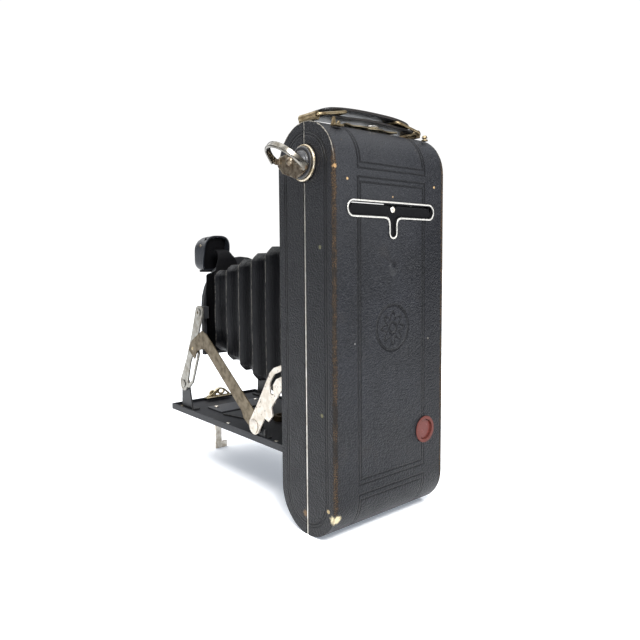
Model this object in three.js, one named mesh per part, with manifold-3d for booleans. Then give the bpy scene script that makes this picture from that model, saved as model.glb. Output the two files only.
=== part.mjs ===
// A vertical self-erecting roll-film folding camera, standing open on its rounded end and its fold-out foot.
// Millimetres, +Z up. While it is built, x = 0 is the middle of the body, y = 0 the flat back and z = 0 the
// surface it stands on. The lens looks along -Y and the winding key is on the +X side.
// The last lines move the whole camera so that its box is centred on x = 0 and y = 0.
import * as THREE from "three";
import { mergeVertices } from "three/addons/utils/BufferGeometryUtils.js";
import Module from "manifold-3d";

const wasm = await Module();
wasm.setup();

// ---- driving dimensions ----
const GAP = 0.3; // clearance between pieces that touch
const FAR = 400; // beyond the camera on every side
const BODY = { height: 210, halfWidth: 40.5, depth: 43, endRadius: 21.5, wall: 1.5, flat: 0.1 };
const SEAM = { front: -22.9, trimFront: -22.3, trimBack: -21.5, back: -21.2 };
const OPENING = { halfWidth: 38.4, bottom: 35.6, top: 183.5 };
const GATE = { front: -10, back: -8.8, bottom: 34.4, top: 176, halfWidth: 38.6, halfPicture: 31.8 };
const PICTURE = { middle: 105, halfHeight: 54 };
const SPOOL = { flangeRadius: 12, coreRadius: 5.5, halfLength: 33.5, flange: 1 };
const KEY_AXIS = { y: -21.5, z: 189.7 };
const LOWER_SPOOL_Z = 21.5;
const SLOT = { halfWidth: 32, bottom: 163, top: 171, stemHalf: 2.7, stemBottom: 152.7, fillet: 3.2 };
const WINDOW = { x: -25.9, z: 48, ring: 7.4, disc: 6.2 };
const HINGE = { y: -39, z: 40, knuckle: 4 };
const BED = { halfWidth: 36, front: -181.5, bottom: 36, floor: 38.2, top: 40, rim: 1.4 };
const ARM_PIVOT = { y: -166.3, z: 56.5 };
const STANDARD_PIVOT = { y: -142.7, z: 107.8 };
const BRACE_PIVOT = { y: -74.7, z: 45.7 };
// Plates of the linkage, from the middle outwards: each is one layer along X on either side.
const LAYER = {
  bracket: [31.8, 32.9],
  arm: [33.2, 34.2],
  armHead: [34.4, 34.9],
  strut: [35.1, 35.9],
  brace: [36.3, 37.2],
  braceHead: [37.4, 38.0],
};
const LENS = { z: 106 };
const BOARD = { front: -146, back: -143, halfWidth: 30.3, ear: 32.8, bottom: 79, shoulder: 112, top: 144.8 };
const BELLOWS = {
  front: { y: -142.6, halfWidth: 28, halfHeight: 23.5, z: 109.5 },
  back: { y: -10.4, halfWidth: 33, halfHeight: 57, z: 103 },
  folds: 9,
};
const FINDER = { x: 13.7, z: 147, halfWidth: 9.6, halfHeight: 12.2, front: -165.6, back: -149.6 };
const FINDER_WINDOW = { halfWidth: 6, bottom: -4.4, top: 8.6 };
const STRAP = { halfWidth: 6.2, y: -21.5, leather: 1.6 };
const LUG = { x: 37.4, z: 212.6, radius: 1.9, halfLength: 7.4 };
const LOOP_WIRE = 0.8;

// ---- finishes ----
const FINISH = {
  leather: { color: 0x3e4046, roughness: 0.6, metalness: 0 },
  black: { color: 0x1c1d1f, roughness: 0.45, metalness: 0.3 },
  nickel: { color: 0xd9d2c4, roughness: 0.3, metalness: 1 },
  bronze: { color: 0x96825f, roughness: 0.45, metalness: 1 },
  brass: { color: 0xa58a4e, roughness: 0.4, metalness: 1 },
  wood: { color: 0x5a3a22, roughness: 0.7, metalness: 0 },
  cloth: { color: 0x1e1e21, roughness: 0.8, metalness: 0 },
  red: { color: 0x8f3022, roughness: 0.3, metalness: 0 },
  glass: { color: 0xb8c4cc, roughness: 0.05, metalness: 0 },
};

// ---- solids ----
function toSolid(geometry) {
  const bare = new THREE.BufferGeometry();
  bare.setAttribute("position", geometry.getAttribute("position"));
  bare.setIndex(geometry.index);
  const merged = mergeVertices(bare, 1e-4);
  return new wasm.Manifold(
    new wasm.Mesh({
      numProp: 3,
      vertProperties: merged.attributes.position.array,
      triVerts: new Uint32Array(merged.index.array),
    }),
  );
}

function toGeometry(solid) {
  const mesh = solid.getMesh();
  const geometry = new THREE.BufferGeometry();
  geometry.setAttribute("position", new THREE.BufferAttribute(mesh.vertProperties, 3));
  geometry.setIndex(new THREE.BufferAttribute(mesh.triVerts, 1));
  geometry.computeVertexNormals();
  return geometry;
}

function join(...pieces) {
  return toGeometry(pieces.map(toSolid).reduce((all, piece) => all.add(piece)));
}

function cut(base, ...tools) {
  return toGeometry(tools.map(toSolid).reduce((left, tool) => left.subtract(tool), toSolid(base)));
}

function box([x0, x1], [y0, y1], [z0, z1]) {
  const made = new THREE.BoxGeometry(x1 - x0, y1 - y0, z1 - z0);
  return made.translate((x0 + x1) / 2, (y0 + y1) / 2, (z0 + z1) / 2);
}

// A cylinder, or a cone with a second radius, along one axis between two places on it.
function round(axis, radius, [from, to], [p, q], sides = 24, farRadius = radius) {
  const made = new THREE.CylinderGeometry(farRadius, radius, to - from, sides);
  made.translate(0, (from + to) / 2, 0);
  if (axis === "x") return made.rotateZ(-Math.PI / 2).translate(0, p, q);
  if (axis === "y") return made.translate(p, 0, q);
  return made.rotateX(Math.PI / 2).translate(p, q, 0);
}

function shapeOf(points) {
  return new THREE.Shape(points.map(([a, b]) => new THREE.Vector2(a, b)));
}

// An outline in (y, z), from x0 to x1.
function plateX(shape, [x0, x1], curveSegments = 12) {
  const made = new THREE.ExtrudeGeometry(shape, { depth: x1 - x0, bevelEnabled: false, curveSegments });
  const turn = new THREE.Matrix4().set(0, 0, 1, x0, 1, 0, 0, 0, 0, 1, 0, 0, 0, 0, 0, 1);
  return made.applyMatrix4(turn);
}

// An outline in (x, z), from y0 to y1.
function plateY(shape, [y0, y1], curveSegments = 12) {
  const made = new THREE.ExtrudeGeometry(shape, { depth: y1 - y0, bevelEnabled: false, curveSegments });
  return made.rotateX(Math.PI / 2).translate(0, y1, 0);
}

// An outline in (x, y), from z0 to z1.
function plateZ(shape, [z0, z1], curveSegments = 12) {
  const made = new THREE.ExtrudeGeometry(shape, { depth: z1 - z0, bevelEnabled: false, curveSegments });
  return made.translate(0, 0, z0);
}

// A bar with round ends from p to q, as an outline that can taper.
function barShape([py, pz], [qy, qz], startRadius, endRadius = startRadius) {
  const along = Math.atan2(qz - pz, qy - py);
  const lean = Math.acos((startRadius - endRadius) / Math.hypot(qy - py, qz - pz));
  const shape = new THREE.Shape();
  shape.absarc(py, pz, startRadius, along + lean, along - lean + 2 * Math.PI, false);
  shape.absarc(qy, qz, endRadius, along - lean, along + lean, false);
  return shape;
}

// A flat link made of tapering bars from joint to joint, each joint being [y, z, radius].
function link(joints, layer) {
  const bars = [];
  for (let i = 1; i < joints.length; i += 1) {
    const [a, b] = [joints[i - 1], joints[i]];
    bars.push(plateX(barShape([a[0], a[1]], [b[0], b[1]], a[2], b[2]), layer, 5));
  }
  return join(...bars);
}

function mirrorLayer([x0, x1], side) {
  return side > 0 ? [x0, x1] : [-x1, -x0];
}

function lathe(points, sides = 32) {
  return new THREE.LatheGeometry(points.map(([r, h]) => new THREE.Vector2(r, h)), sides);
}

// Turned pieces point along +X on the side of the body, or along -Y at the front: [radius, height] profiles.
function turnedX(points, sides) {
  return lathe(points, sides).rotateZ(-Math.PI / 2);
}

function turnedFront(points, sides) {
  return lathe(points, sides).rotateX(Math.PI);
}

function closed(points) {
  return [...points, points[0]];
}

function piece(name, finish, geometry) {
  const mesh = new THREE.Mesh(geometry, new THREE.MeshStandardMaterial(FINISH[finish]));
  mesh.name = name;
  return mesh;
}

function group(...children) {
  const made = new THREE.Group();
  made.add(...children);
  return made;
}

// Moves geometry built in camera coordinates into a group placed at a pivot.
function pivoted([x, y, z], ...meshes) {
  meshes.forEach((mesh) => mesh.geometry.translate(-x, -y, -z));
  const made = group(...meshes);
  made.position.set(x, y, z);
  return made;
}

// ---- body ----
function stadium(inset) {
  const { height, depth, endRadius } = BODY;
  const radius = endRadius - inset;
  const shape = new THREE.Shape();
  shape.absarc(-depth / 2, height - endRadius, radius, 0, Math.PI, false);
  shape.absarc(-depth / 2, endRadius, radius, Math.PI, 2 * Math.PI, false);
  return shape;
}

// The whole case, hollow, with a narrow flat worn along the bottom where it stands.
function hollowCase() {
  const outer = plateX(stadium(0), [-BODY.halfWidth, BODY.halfWidth]);
  const inner = BODY.halfWidth - BODY.wall;
  return cut(
    outer,
    plateX(stadium(BODY.wall), [-inner, inner]),
    box([-FAR, FAR], [-FAR, FAR], [-1, BODY.flat]),
  );
}

function makeBodyShell() {
  const { halfWidth, wall, depth } = BODY;
  const { y, z } = KEY_AXIS;
  const half = cut(
    hollowCase(),
    box([-FAR, FAR], [SEAM.front, FAR], [-FAR, FAR]),
    box(
      [-OPENING.halfWidth, OPENING.halfWidth],
      [-depth - wall, -depth + 2 * wall],
      [OPENING.bottom, OPENING.top],
    ),
  );
  const ear = round("x", 9.1, [halfWidth - wall, halfWidth], [y, z], 32);
  return cut(join(half, ear), round("x", 3.4, [halfWidth - 3 * wall, halfWidth + wall], [y, z]));
}

function makeSeamTrim() {
  const { halfWidth, height, wall: width, flat } = BODY;
  const y = [SEAM.trimFront, SEAM.trimBack];
  return cut(
    box([-halfWidth, halfWidth], y, [flat, height]),
    box([-halfWidth + width, halfWidth - width], [-FAR, FAR], [width, height - width]),
    round("x", 9.5, [0, FAR], [KEY_AXIS.y, KEY_AXIS.z], 32),
  );
}

function slotShape(inset) {
  const bar = (SLOT.top - SLOT.bottom) / 2;
  const middle = (SLOT.top + SLOT.bottom) / 2;
  const radius = bar - inset;
  const stem = SLOT.stemHalf - inset;
  const fillet = SLOT.fillet + inset;
  const end = SLOT.halfWidth - bar;
  const shape = new THREE.Shape();
  shape.absarc(end, middle, radius, -Math.PI / 2, Math.PI / 2, false);
  shape.absarc(-end, middle, radius, Math.PI / 2, 1.5 * Math.PI, false);
  shape.absarc(-stem - fillet, SLOT.bottom + inset - fillet, fillet, Math.PI / 2, 0, true);
  shape.absarc(0, SLOT.stemBottom + SLOT.stemHalf, stem, Math.PI, 2 * Math.PI, false);
  shape.absarc(stem + fillet, SLOT.bottom + inset - fillet, fillet, Math.PI, Math.PI / 2, true);
  return shape;
}

function makeBackCover() {
  const { halfWidth } = BODY;
  return cut(
    hollowCase(),
    box([-FAR, FAR], [-FAR, SEAM.back], [-FAR, FAR]),
    plateY(slotShape(0), [-5, 5], 5),
    round("y", WINDOW.disc + GAP, [-5, 5], [WINDOW.x, WINDOW.z]),
    round("x", 9.5, [halfWidth - 5, halfWidth + 5], [KEY_AXIS.y, KEY_AXIS.z], 32),
  );
}

// The picture frame, with the walls that part it from the two spool chambers, notches for the rollers and
// slots that the folded struts reach into.
function makeFilmGate() {
  const { front, back, bottom, top, halfWidth, halfPicture } = GATE;
  const wall = 1.2;
  const span = [-halfWidth, halfWidth];
  const notch = (z) => box([-34.2, 34.2], [-FAR, FAR], [z - 2.8, z + 2.8]);
  const picture = [PICTURE.middle - PICTURE.halfHeight, PICTURE.middle + PICTURE.halfHeight];
  const [inner, outer] = LAYER.strut;
  const relief = (side) => box(mirrorLayer([inner - GAP, outer + GAP], side), [-FAR, FAR], [126, 163]);
  return cut(
    join(
      box(span, [front, back], [bottom, top]),
      box(span, [-37, front + 0.5], [top - wall, top]),
      box(span, [-33.5, front + 0.5], [bottom, bottom + wall]),
    ),
    box([-halfPicture, halfPicture], [-FAR, FAR], picture),
    notch(ROLLER.upper),
    notch(ROLLER.lower),
    relief(1),
    relief(-1),
  );
}

const ROLLER = { upper: 168.5, lower: 41.5, y: -9.4, radius: 2.2, journal: 1 };

function makeRoller(z) {
  return join(
    round("x", ROLLER.radius, [-33.6, 33.6], [ROLLER.y, z], 16),
    round("x", ROLLER.journal, [-33.9, 33.9], [ROLLER.y, z], 12),
  );
}

function makeSpool(z, bore) {
  const { flangeRadius, coreRadius, halfLength, flange } = SPOOL;
  const at = [KEY_AXIS.y, z];
  const whole = join(
    round("x", coreRadius, [-halfLength, halfLength], at, 20),
    round("x", flangeRadius, [-halfLength, -halfLength + flange], at, 28),
    round("x", flangeRadius, [halfLength - flange, halfLength], at, 28),
  );
  const hole = round("x", bore, [halfLength - 12, halfLength + 1], at, 12);
  const otherHole = round("x", bore, [-halfLength - 1, -halfLength + 12], at, 12);
  return cut(whole, hole, otherHole);
}

function makeSpoolPin(z, side) {
  const inner = BODY.halfWidth - BODY.wall - GAP;
  const at = [KEY_AXIS.y, z];
  return join(
    round("x", 2.2, mirrorLayer([28, inner], side), at, 16),
    round("x", 6, mirrorLayer([inner - 1.2, inner], side), at, 20),
  );
}

function makeSlotTrim() {
  const outer = plateY(slotShape(-0.4), [0.1, 0.5], 5);
  const skirt = plateY(slotShape(GAP), [-1.3, 0.5], 5);
  return cut(join(outer, skirt), plateY(slotShape(0.9), [-5, 5], 5));
}

const DOOR = { inner: -1.2, outer: -0.5, hingeY: -0.85, hingeZ: 168.9, knuckle: 0.6, half: 27 };
const EYELET = { z: 167.3, radius: 1.5, bore: 0.45, barrel: 0.8 };

// The T-shaped leaf hangs from a thin pin along its top edge and opens outwards.
function makeSlotDoor() {
  const { inner, outer, hingeY, hingeZ, knuckle, half } = DOOR;
  const corner = (side) => box(mirrorLayer([half + 2.3, FAR], side), [-FAR, FAR], [hingeZ - 1.7, FAR]);
  const leaf = cut(
    plateY(slotShape(1.2), [inner, outer], 5),
    box([-FAR, FAR], [-FAR, FAR], [hingeZ, FAR]),
    corner(1),
    corner(-1),
    round("y", 1, [-3, 3], [0, EYELET.z], 12),
  );
  const roll = (span) => round("x", knuckle, span, [hingeY, hingeZ], 12);
  return cut(
    join(leaf, roll([-half, -3]), roll([3, half])),
    round("x", 0.42, [-FAR, FAR], [hingeY, hingeZ], 8),
  );
}

function makeSlotDoorPin() {
  return round("x", 0.28, [-DOOR.half - 2, DOOR.half + 2], [DOOR.hingeY, DOOR.hingeZ], 8);
}

function makeSlotEyelet() {
  const { inner, outer } = DOOR;
  const rim = round("y", EYELET.radius, [outer + 0.1, outer + 0.55], [0, EYELET.z], 18);
  const barrel = round("y", EYELET.barrel, [inner - 0.3, outer + 0.3], [0, EYELET.z], 12);
  return cut(join(rim, barrel), round("y", EYELET.bore, [-5, 5], [0, EYELET.z], 8));
}

function makeWindowRing() {
  const rim = round("y", WINDOW.ring, [0.1, 0.6], [WINDOW.x, WINDOW.z], 32);
  const collar = round("y", WINDOW.disc, [-1.9, 0.6], [WINDOW.x, WINDOW.z], 32);
  return cut(join(rim, collar), round("y", WINDOW.disc - 0.6, [-3, 3], [WINDOW.x, WINDOW.z], 32));
}

function makeRedWindow() {
  return round("y", WINDOW.disc - 0.6 - GAP / 2, [-1.6, -0.6], [WINDOW.x, WINDOW.z], 32);
}

function makeBody() {
  return group(
    piece("body_shell", "leather", makeBodyShell()),
    piece("film_gate", "black", makeFilmGate()),
    piece("film_roller_upper", "nickel", makeRoller(ROLLER.upper)),
    piece("film_roller_lower", "nickel", makeRoller(ROLLER.lower)),
    piece("supply_spool", "wood", makeSpool(LOWER_SPOOL_Z, 2.5)),
    piece("spool_pin_upper", "nickel", makeSpoolPin(KEY_AXIS.z, -1)),
    piece("spool_pin_lower_right", "nickel", makeSpoolPin(LOWER_SPOOL_Z, 1)),
    piece("spool_pin_lower_left", "nickel", makeSpoolPin(LOWER_SPOOL_Z, -1)),
  );
}

function makeBack() {
  return group(
    piece("back_cover", "leather", makeBackCover()),
    piece("seam_trim", "nickel", makeSeamTrim()),
    piece("slot_trim", "nickel", makeSlotTrim()),
    piece("slot_door", "black", makeSlotDoor()),
    piece("slot_door_pin", "nickel", makeSlotDoorPin()),
    piece("slot_eyelet", "nickel", makeSlotEyelet()),
    piece("window_ring", "black", makeWindowRing()),
    piece("red_window", "red", makeRedWindow()),
    piece("latch_claw", "bronze", makeLatchClaw()),
    piece("latch_knob", "bronze", makeLatchKnob()),
  );
}

// Height of the rounded top of the body at a depth y.
function topAt(y) {
  const { height, depth, endRadius } = BODY;
  return height - endRadius + Math.sqrt(endRadius ** 2 - (y + depth / 2) ** 2);
}

// The two catches on the back that the latch plate holds: a two-pointed claw and a round knob.
function makeLatchClaw() {
  const [near, far] = [-9.6, -6.4];
  const tooth = (x, height) => {
    const foot = topAt(near) + GAP;
    const outline = [[x - 1.5, foot], [x + 1.5, foot], [x + 0.3, height], [x - 0.9, height]];
    return plateY(shapeOf(outline), [near, near + 1]);
  };
  const base = box([27.6, 34], [near, far], [topAt(near) + GAP, topAt(near) + GAP + 0.9]);
  return join(base, tooth(29.2, 209.6), tooth(32.4, 211.2));
}

function makeLatchKnob() {
  const foot = topAt(-10.2) + GAP;
  const at = [-34.7, -8.4];
  return join(
    round("z", 1.8, [foot, foot + 0.8], at, 16),
    round("z", 0.9, [foot + 0.4, foot + 2], at, 12),
    round("z", 1.7, [foot + 1.6, foot + 3], at, 16, 1.1),
  );
}

// ---- winding key ----
const KEY = { plateFoot: 48.6, plateTop: 49.5, tilt: -0.23 };
const BAIL = { axis: 50.6, band: 2, halfChord: 12.2, reach: 13.7, wall: 1.1, lean: 0.663 };
const KEY_CHORD = { y: 0.7, z: -1.5 };

function makeKeyBase() {
  const { halfWidth } = BODY;
  const [foot, top] = [halfWidth + GAP, halfWidth + 1.7];
  return turnedX(closed([[6.6, foot], [9.1, foot], [9.1, top - 0.5], [8.6, top], [6.6, top]]));
}

function makeKeyHub() {
  const stem = [[0, 25], [3, 25], [3, 41.1]];
  const steps = [...stem, [6.2, 41.1], [6.2, 43], [5.6, 44], [4.6, 44.6], [4.4, 48.3], [0, 48.3]];
  return turnedX(steps, 24);
}

// The key plate: a lozenge with two ears that carry the bail.
function makeKeyPlate() {
  const { plateFoot, plateTop } = KEY;
  const { axis, halfChord } = BAIL;
  const lower = [[-10.8, -2.2], [-6, -5.2], [5, -6.2], [10.8, -2.4]];
  const outline = [...lower, [10.8, 2.2], [4, 4.6], [-4, 4.6], [-10.8, 2.2]];
  const ear = (y0) => box([plateFoot, axis + 1.3], [y0, y0 + 0.9], [-1.5, 1.5]);
  const pin = (y0) => round("y", 0.7, [y0, y0 + 2.2], [axis, 0], 10);
  return join(
    plateX(shapeOf(outline), [plateFoot, plateTop]),
    ear(9.6),
    ear(-10.5),
    pin(halfChord - 1.9),
    pin(-halfChord - 0.3),
  );
}

function makeKeyRivet() {
  const dome = [[0, 0], [2.2, 0], [2.1, 0.7], [1.5, 1.3], [0.8, 1.6], [0, 1.7]];
  return turnedX(dome, 16).translate(KEY.plateTop + 0.2, 0, 0);
}

// The D-shaped bail, flat in its own plane: hinge ends on Y, apex along +X.
function makeKeyBail() {
  const { halfChord, band, reach, wall } = BAIL;
  const arch = new THREE.Shape();
  arch.moveTo(0, -halfChord - wall);
  arch.absellipse(0, 0, reach, halfChord + wall, -Math.PI / 2, Math.PI / 2, false);
  arch.absellipse(0, 0, reach - wall, halfChord, Math.PI / 2, -Math.PI / 2, true);
  const half = plateZ(arch, [-band, band], 14);
  const eye = (y0) => round("y", band, [y0, y0 + wall], [0, 0], 14);
  const hole = round("y", 1, [-20, 20], [0, 0], 10);
  return cut(join(half, eye(halfChord), eye(-halfChord - wall)), hole);
}

function makeKey() {
  const hub = piece("key_hub", "black", makeKeyHub());
  const chord = group(piece("key_plate", "nickel", makeKeyPlate()));
  chord.position.set(0, KEY_CHORD.y, KEY_CHORD.z);
  chord.rotation.x = KEY.tilt;
  const bail = group(piece("key_bail", "nickel", makeKeyBail()));
  bail.position.set(BAIL.axis, 0, 0);
  bail.rotation.y = -BAIL.lean;
  chord.add(bail);
  const made = group(hub, chord, piece("key_base_ring", "nickel", makeKeyBase()));
  made.add(piece("key_rivet", "nickel", makeKeyRivet()));
  made.position.set(0, KEY_AXIS.y, KEY_AXIS.z);
  return made;
}

// ---- bed ----
const BUSH = { y: -98, radius: 5.2, bore: 3.3 };
const FOOT = { y: -178.6, z: 34.1, pin: 0.8, halfWidth: 2.5, ears: [3.3, 5] };

function makeBed() {
  const { halfWidth, front, bottom, floor, top, rim } = BED;
  const span = [-halfWidth, halfWidth];
  const slab = cut(
    box(span, [front, HINGE.y], [bottom, top]),
    box([-halfWidth + rim, halfWidth - rim], [front + rim, -47], [floor, top + 1]),
    round("z", BUSH.radius + GAP, [0, FAR], [0, BUSH.y], 24),
  );
  const ear = (side) => {
    const layer = mirrorLayer(FOOT.ears, side);
    return join(
      box(layer, [FOOT.y - 1.8, FOOT.y + 1.8], [FOOT.z, bottom + 1]),
      round("x", 1.8, layer, [FOOT.y, FOOT.z], 16),
    );
  };
  return cut(
    join(slab, round("x", HINGE.knuckle, span, [HINGE.y, HINGE.z], 24), ear(1), ear(-1)),
    round("x", 1.9, [-FAR, FAR], [HINGE.y, HINGE.z], 16),
    round("x", FOOT.pin + 0.2, [-FAR, FAR], [FOOT.y, FOOT.z], 10),
  );
}

function makeBedTrack() {
  const z = [BED.floor + GAP, BED.floor + 1.1];
  const right = [[22.7, -134], [16.8, -109], [13.5, -104.5]];
  const left = right.map(([x, y]) => [-x, y]).reverse();
  return plateZ(shapeOf([...right, ...left]), z);
}

function makeCrossPlate() {
  const foot = BED.floor + GAP;
  const plate = box([-21, 21], [-157, -138], [foot, foot + 0.9]);
  const rivet = (x) => round("z", 1.3, [foot + 0.5, foot + 1.5], [x, -152], 12, 0.9);
  return join(plate, rivet(16.6), rivet(-16.6));
}

// The spring catch at the front of the bed: a bowed nickel lever with a hook that holds the bed shut.
function makeBedCatch() {
  const base = box([-10, 11.6], [-179.6, -173], [BED.floor + GAP, BED.floor + 1.2]);
  const upright = box([-7, 8.6], [-179.6, -178.6], [BED.floor + 0.5, 45.5]);
  const hook = box([-4, 5.6], [-179.6, -176.4], [44.6, 45.8]);
  const curl = round("x", 1.3, [-10, 11.6], [-174.3, 40.4], 12);
  return join(base, upright, hook, curl);
}

function makeTripodBush() {
  const flange = round("z", 7, [BED.bottom - 1, BED.bottom - GAP], [0, BUSH.y], 28);
  const barrel = round("z", BUSH.radius, [BED.bottom - 1, BED.top + 1.5], [0, BUSH.y], 28);
  return cut(join(flange, barrel), round("z", BUSH.bore, [0, FAR], [0, BUSH.y], 20));
}

function makeBedFoot() {
  const { y, z, pin, halfWidth } = FOOT;
  const strip = box([-halfWidth, halfWidth], [y - 0.6, y + 0.6], [BODY.flat, z]);
  const shoe = box([-7, halfWidth], [y - 0.6, y + 0.6], [BODY.flat, 5]);
  const eye = round("x", 1.6, [-halfWidth, halfWidth], [y, z], 16);
  return cut(join(strip, shoe, eye), round("x", pin + 0.2, [-10, 10], [y, z], 12));
}

// The lug on the bed that carries the stud of the strut and the brace, outboard of the lug.
function makeSideLug(side) {
  const { y, z } = BRACE_PIVOT;
  const layer = mirrorLayer([33.2, 34.6], side);
  const foot = BED.floor + GAP;
  return join(
    box(layer, [y - 5, y + 7], [foot, z - 1]),
    box(mirrorLayer([29.5, 34.6], side), [y - 5, y + 7], [foot, foot + 1]),
    round("x", 4, layer, [y, z], 20),
    round("x", 1.5, mirrorLayer([34, LAYER.braceHead[1]], side), [y, z], 16),
    round("x", 3.5, mirrorLayer(LAYER.braceHead, side), [y, z], 20),
  );
}

// The bracket at the front of the bed that carries the arm's lower pivot.
function makeBracket(side) {
  const { y, z } = ARM_PIVOT;
  const layer = mirrorLayer(LAYER.bracket, side);
  const foot = BED.floor + GAP;
  const web = plateX(shapeOf([[-172, foot], [-157, foot], [-161.2, z], [-171.2, z]]), layer);
  return join(
    web,
    box(mirrorLayer([27, 32.9], side), [-172, -157], [foot, foot + 1]),
    round("x", 5, layer, [y, z], 20),
    round("x", 1.5, mirrorLayer([32, LAYER.armHead[1]], side), [y, z], 16),
    round("x", 2.5, mirrorLayer(LAYER.armHead, side), [y, z], 18),
  );
}

// The front arm: a rail from the bed to the standard, with a thin rear rail beside its lower slot.
function makeArm(side) {
  const layer = mirrorLayer(LAYER.arm, side);
  const pivot = [ARM_PIVOT.y, ARM_PIVOT.z];
  const top = [STANDARD_PIVOT.y, STANDARD_PIVOT.z];
  const rail = link([[...pivot, 5], [-158.8, 73.5, 2.9], [-149.6, 91, 4], [...top, 4.6]], layer);
  const bend = [[-146.5, 86, 1.2], [-144.6, 79.8, 0.9], [-153.8, 59.5, 0.9], [-159, 56, 1.4]];
  const rear = link([...bend, [...pivot, 2]], layer);
  return cut(
    join(rail, rear),
    round("x", 1.8, mirrorLayer([30, 40], side), pivot, 16),
    round("x", 1.8, mirrorLayer([30, 40], side), top, 16),
  );
}

// The strut that steadies the arm: it runs from the bed lug up to a squared collar beside the arm.
function makeStrut(side) {
  const layer = mirrorLayer(LAYER.strut, side);
  const { y, z } = BRACE_PIVOT;
  const outline = [
    [-154.8, 81.8], [-146.9, 76.2], [-143.4, 82.2], [-133.6, 84.6], [-90, 51.6],
    [-88.2, 47.8], [-77, 41.4], [-70.6, 44], [-72.6, 51.2], [-131.2, 94.6], [-136.5, 96.2], [-150.4, 88.4],
  ];
  return cut(
    join(plateX(shapeOf(outline), layer), round("x", 4.6, layer, [y, z], 20)),
    round("x", 1.8, mirrorLayer([30, 40], side), [y, z], 16),
  );
}

// The nickel brace that holds the bed square, with the J-shaped slot that runs on a pin in the body.
function makeBrace(side) {
  const layer = mirrorLayer(LAYER.brace, side);
  const { y, z } = BRACE_PIVOT;
  const outline = [
    [-79.4, 48], [-79.2, 42.6], [-71, 42], [-64.1, 52.3], [-60.2, 51.1], [-56.2, 55.1], [-57.2, 59.9],
    [-48.4, 70.1], [-41, 77.6], [-30, 82.2], [-27.4, 86.4], [-30.4, 91.2], [-47, 85.2], [-54.6, 82.6],
    [-58.4, 79.4], [-64.8, 69.4], [-70.8, 60],
  ];
  const path = [[-56.7, 68.4], [-57, 73.2], [-53.4, 77.8], [-46, 80.9], [-31.4, 86.6]];
  const halfSlot = 1.5;
  const slot = link(path.map(([py, pz]) => [py, pz, halfSlot]), [layer[0] - 1, layer[1] + 1]);
  return cut(
    join(plateX(shapeOf(outline), layer), round("x", 5.1, layer, [y, z], 24)),
    slot,
    round("x", 1.8, mirrorLayer([30, 40], side), [y, z], 16),
  );
}

function makeBedGroup() {
  return pivoted(
    [0, HINGE.y, HINGE.z],
    piece("bed", "leather", makeBed()),
    piece("bed_track", "black", makeBedTrack()),
    piece("bed_cross_plate", "black", makeCrossPlate()),
    piece("bed_catch", "nickel", makeBedCatch()),
    piece("tripod_bush", "brass", makeTripodBush()),
    piece("side_lug_right", "black", makeSideLug(1)),
    piece("side_lug_left", "black", makeSideLug(-1)),
    piece("front_bracket_right", "black", makeBracket(1)),
    piece("front_bracket_left", "black", makeBracket(-1)),
  );
}

function makeLinkage(suffix, side) {
  const arm = pivoted([0, ARM_PIVOT.y, ARM_PIVOT.z], piece("front_arm_" + suffix, "nickel", makeArm(side)));
  const at = [0, BRACE_PIVOT.y, BRACE_PIVOT.z];
  const strut = pivoted(at, piece("strut_" + suffix, "bronze", makeStrut(side)));
  const brace = pivoted(at, piece("brace_" + suffix, "nickel", makeBrace(side)));
  return group(arm, strut, brace);
}

// ---- front standard, shutter and finder ----
function boardShape(inset) {
  const { halfWidth, bottom, shoulder, top } = BOARD;
  const half = halfWidth - inset;
  const shape = new THREE.Shape();
  shape.moveTo(-half, bottom + inset);
  shape.lineTo(half, bottom + inset);
  shape.absellipse(0, shoulder, half, top - inset - shoulder, 0, Math.PI, false);
  return shape;
}

function makeLensBoard() {
  const { y, z } = STANDARD_PIVOT;
  const middle = (BOARD.front + BOARD.back) / 2;
  const stud = (side) =>
    join(
      box(mirrorLayer([BOARD.ear - 4, BOARD.ear], side), [middle - 1, y + 4], [z - 4, z + 4]),
      round("x", 1.5, mirrorLayer([BOARD.ear - 2, LAYER.armHead[1]], side), [y, z], 16),
      round("x", 2.5, mirrorLayer(LAYER.armHead, side), [y, z], 18),
    );
  return cut(
    join(plateY(boardShape(0), [BOARD.front, BOARD.back], 8), stud(1), stud(-1)),
    round("y", 12, [-FAR, FAR], [0, LENS.z], 28),
  );
}

// The between-lens shutter: a drum with two small dash-pot cylinders on its face.
function makeShutter() {
  const back = BOARD.front - GAP;
  const drum = round("y", 21.5, [back - 8, back], [0, LENS.z], 40);
  const pot = (x) => round("z", 2.6, [LENS.z - 9, LENS.z + 9], [x, back - 8], 14);
  return cut(join(drum, pot(-16.2), pot(16.2)), round("y", 11, [-FAR, FAR], [0, LENS.z], 28));
}

const DIAL_Z = LENS.z + 17.5;

function makeSpeedDial() {
  const back = BOARD.front - GAP - 8 - GAP;
  const dial = round("y", 3.7, [back - 1.6, back], [0, DIAL_Z], 24);
  const pointer = box([-0.6, 0.6], [back - 2.2, back - 1.2], [DIAL_Z - 3.2, DIAL_Z + 3.2]);
  return join(dial, pointer);
}

function makeLensBarrel() {
  const back = BOARD.front - 4;
  const profile = [[7.2, 0], [10.6, 0], [10.6, 6.2], [9.8, 6.2], [9.8, 11.8], [9, 12.4], [7.2, 12.4]];
  return turnedFront(closed(profile), 28).translate(0, back, LENS.z);
}

function makeLensGlass() {
  const dome = [[0, 0], [6.9, 0], [6.9, 1.8], [4.8, 2.7], [2.4, 3.2], [0, 3.4]];
  return turnedFront(dome, 24).translate(0, BOARD.front - 11, LENS.z);
}

const TRIGGER = { pivot: [-19.6, 122.2], tip: [-27.5, 126.8] };

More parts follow.
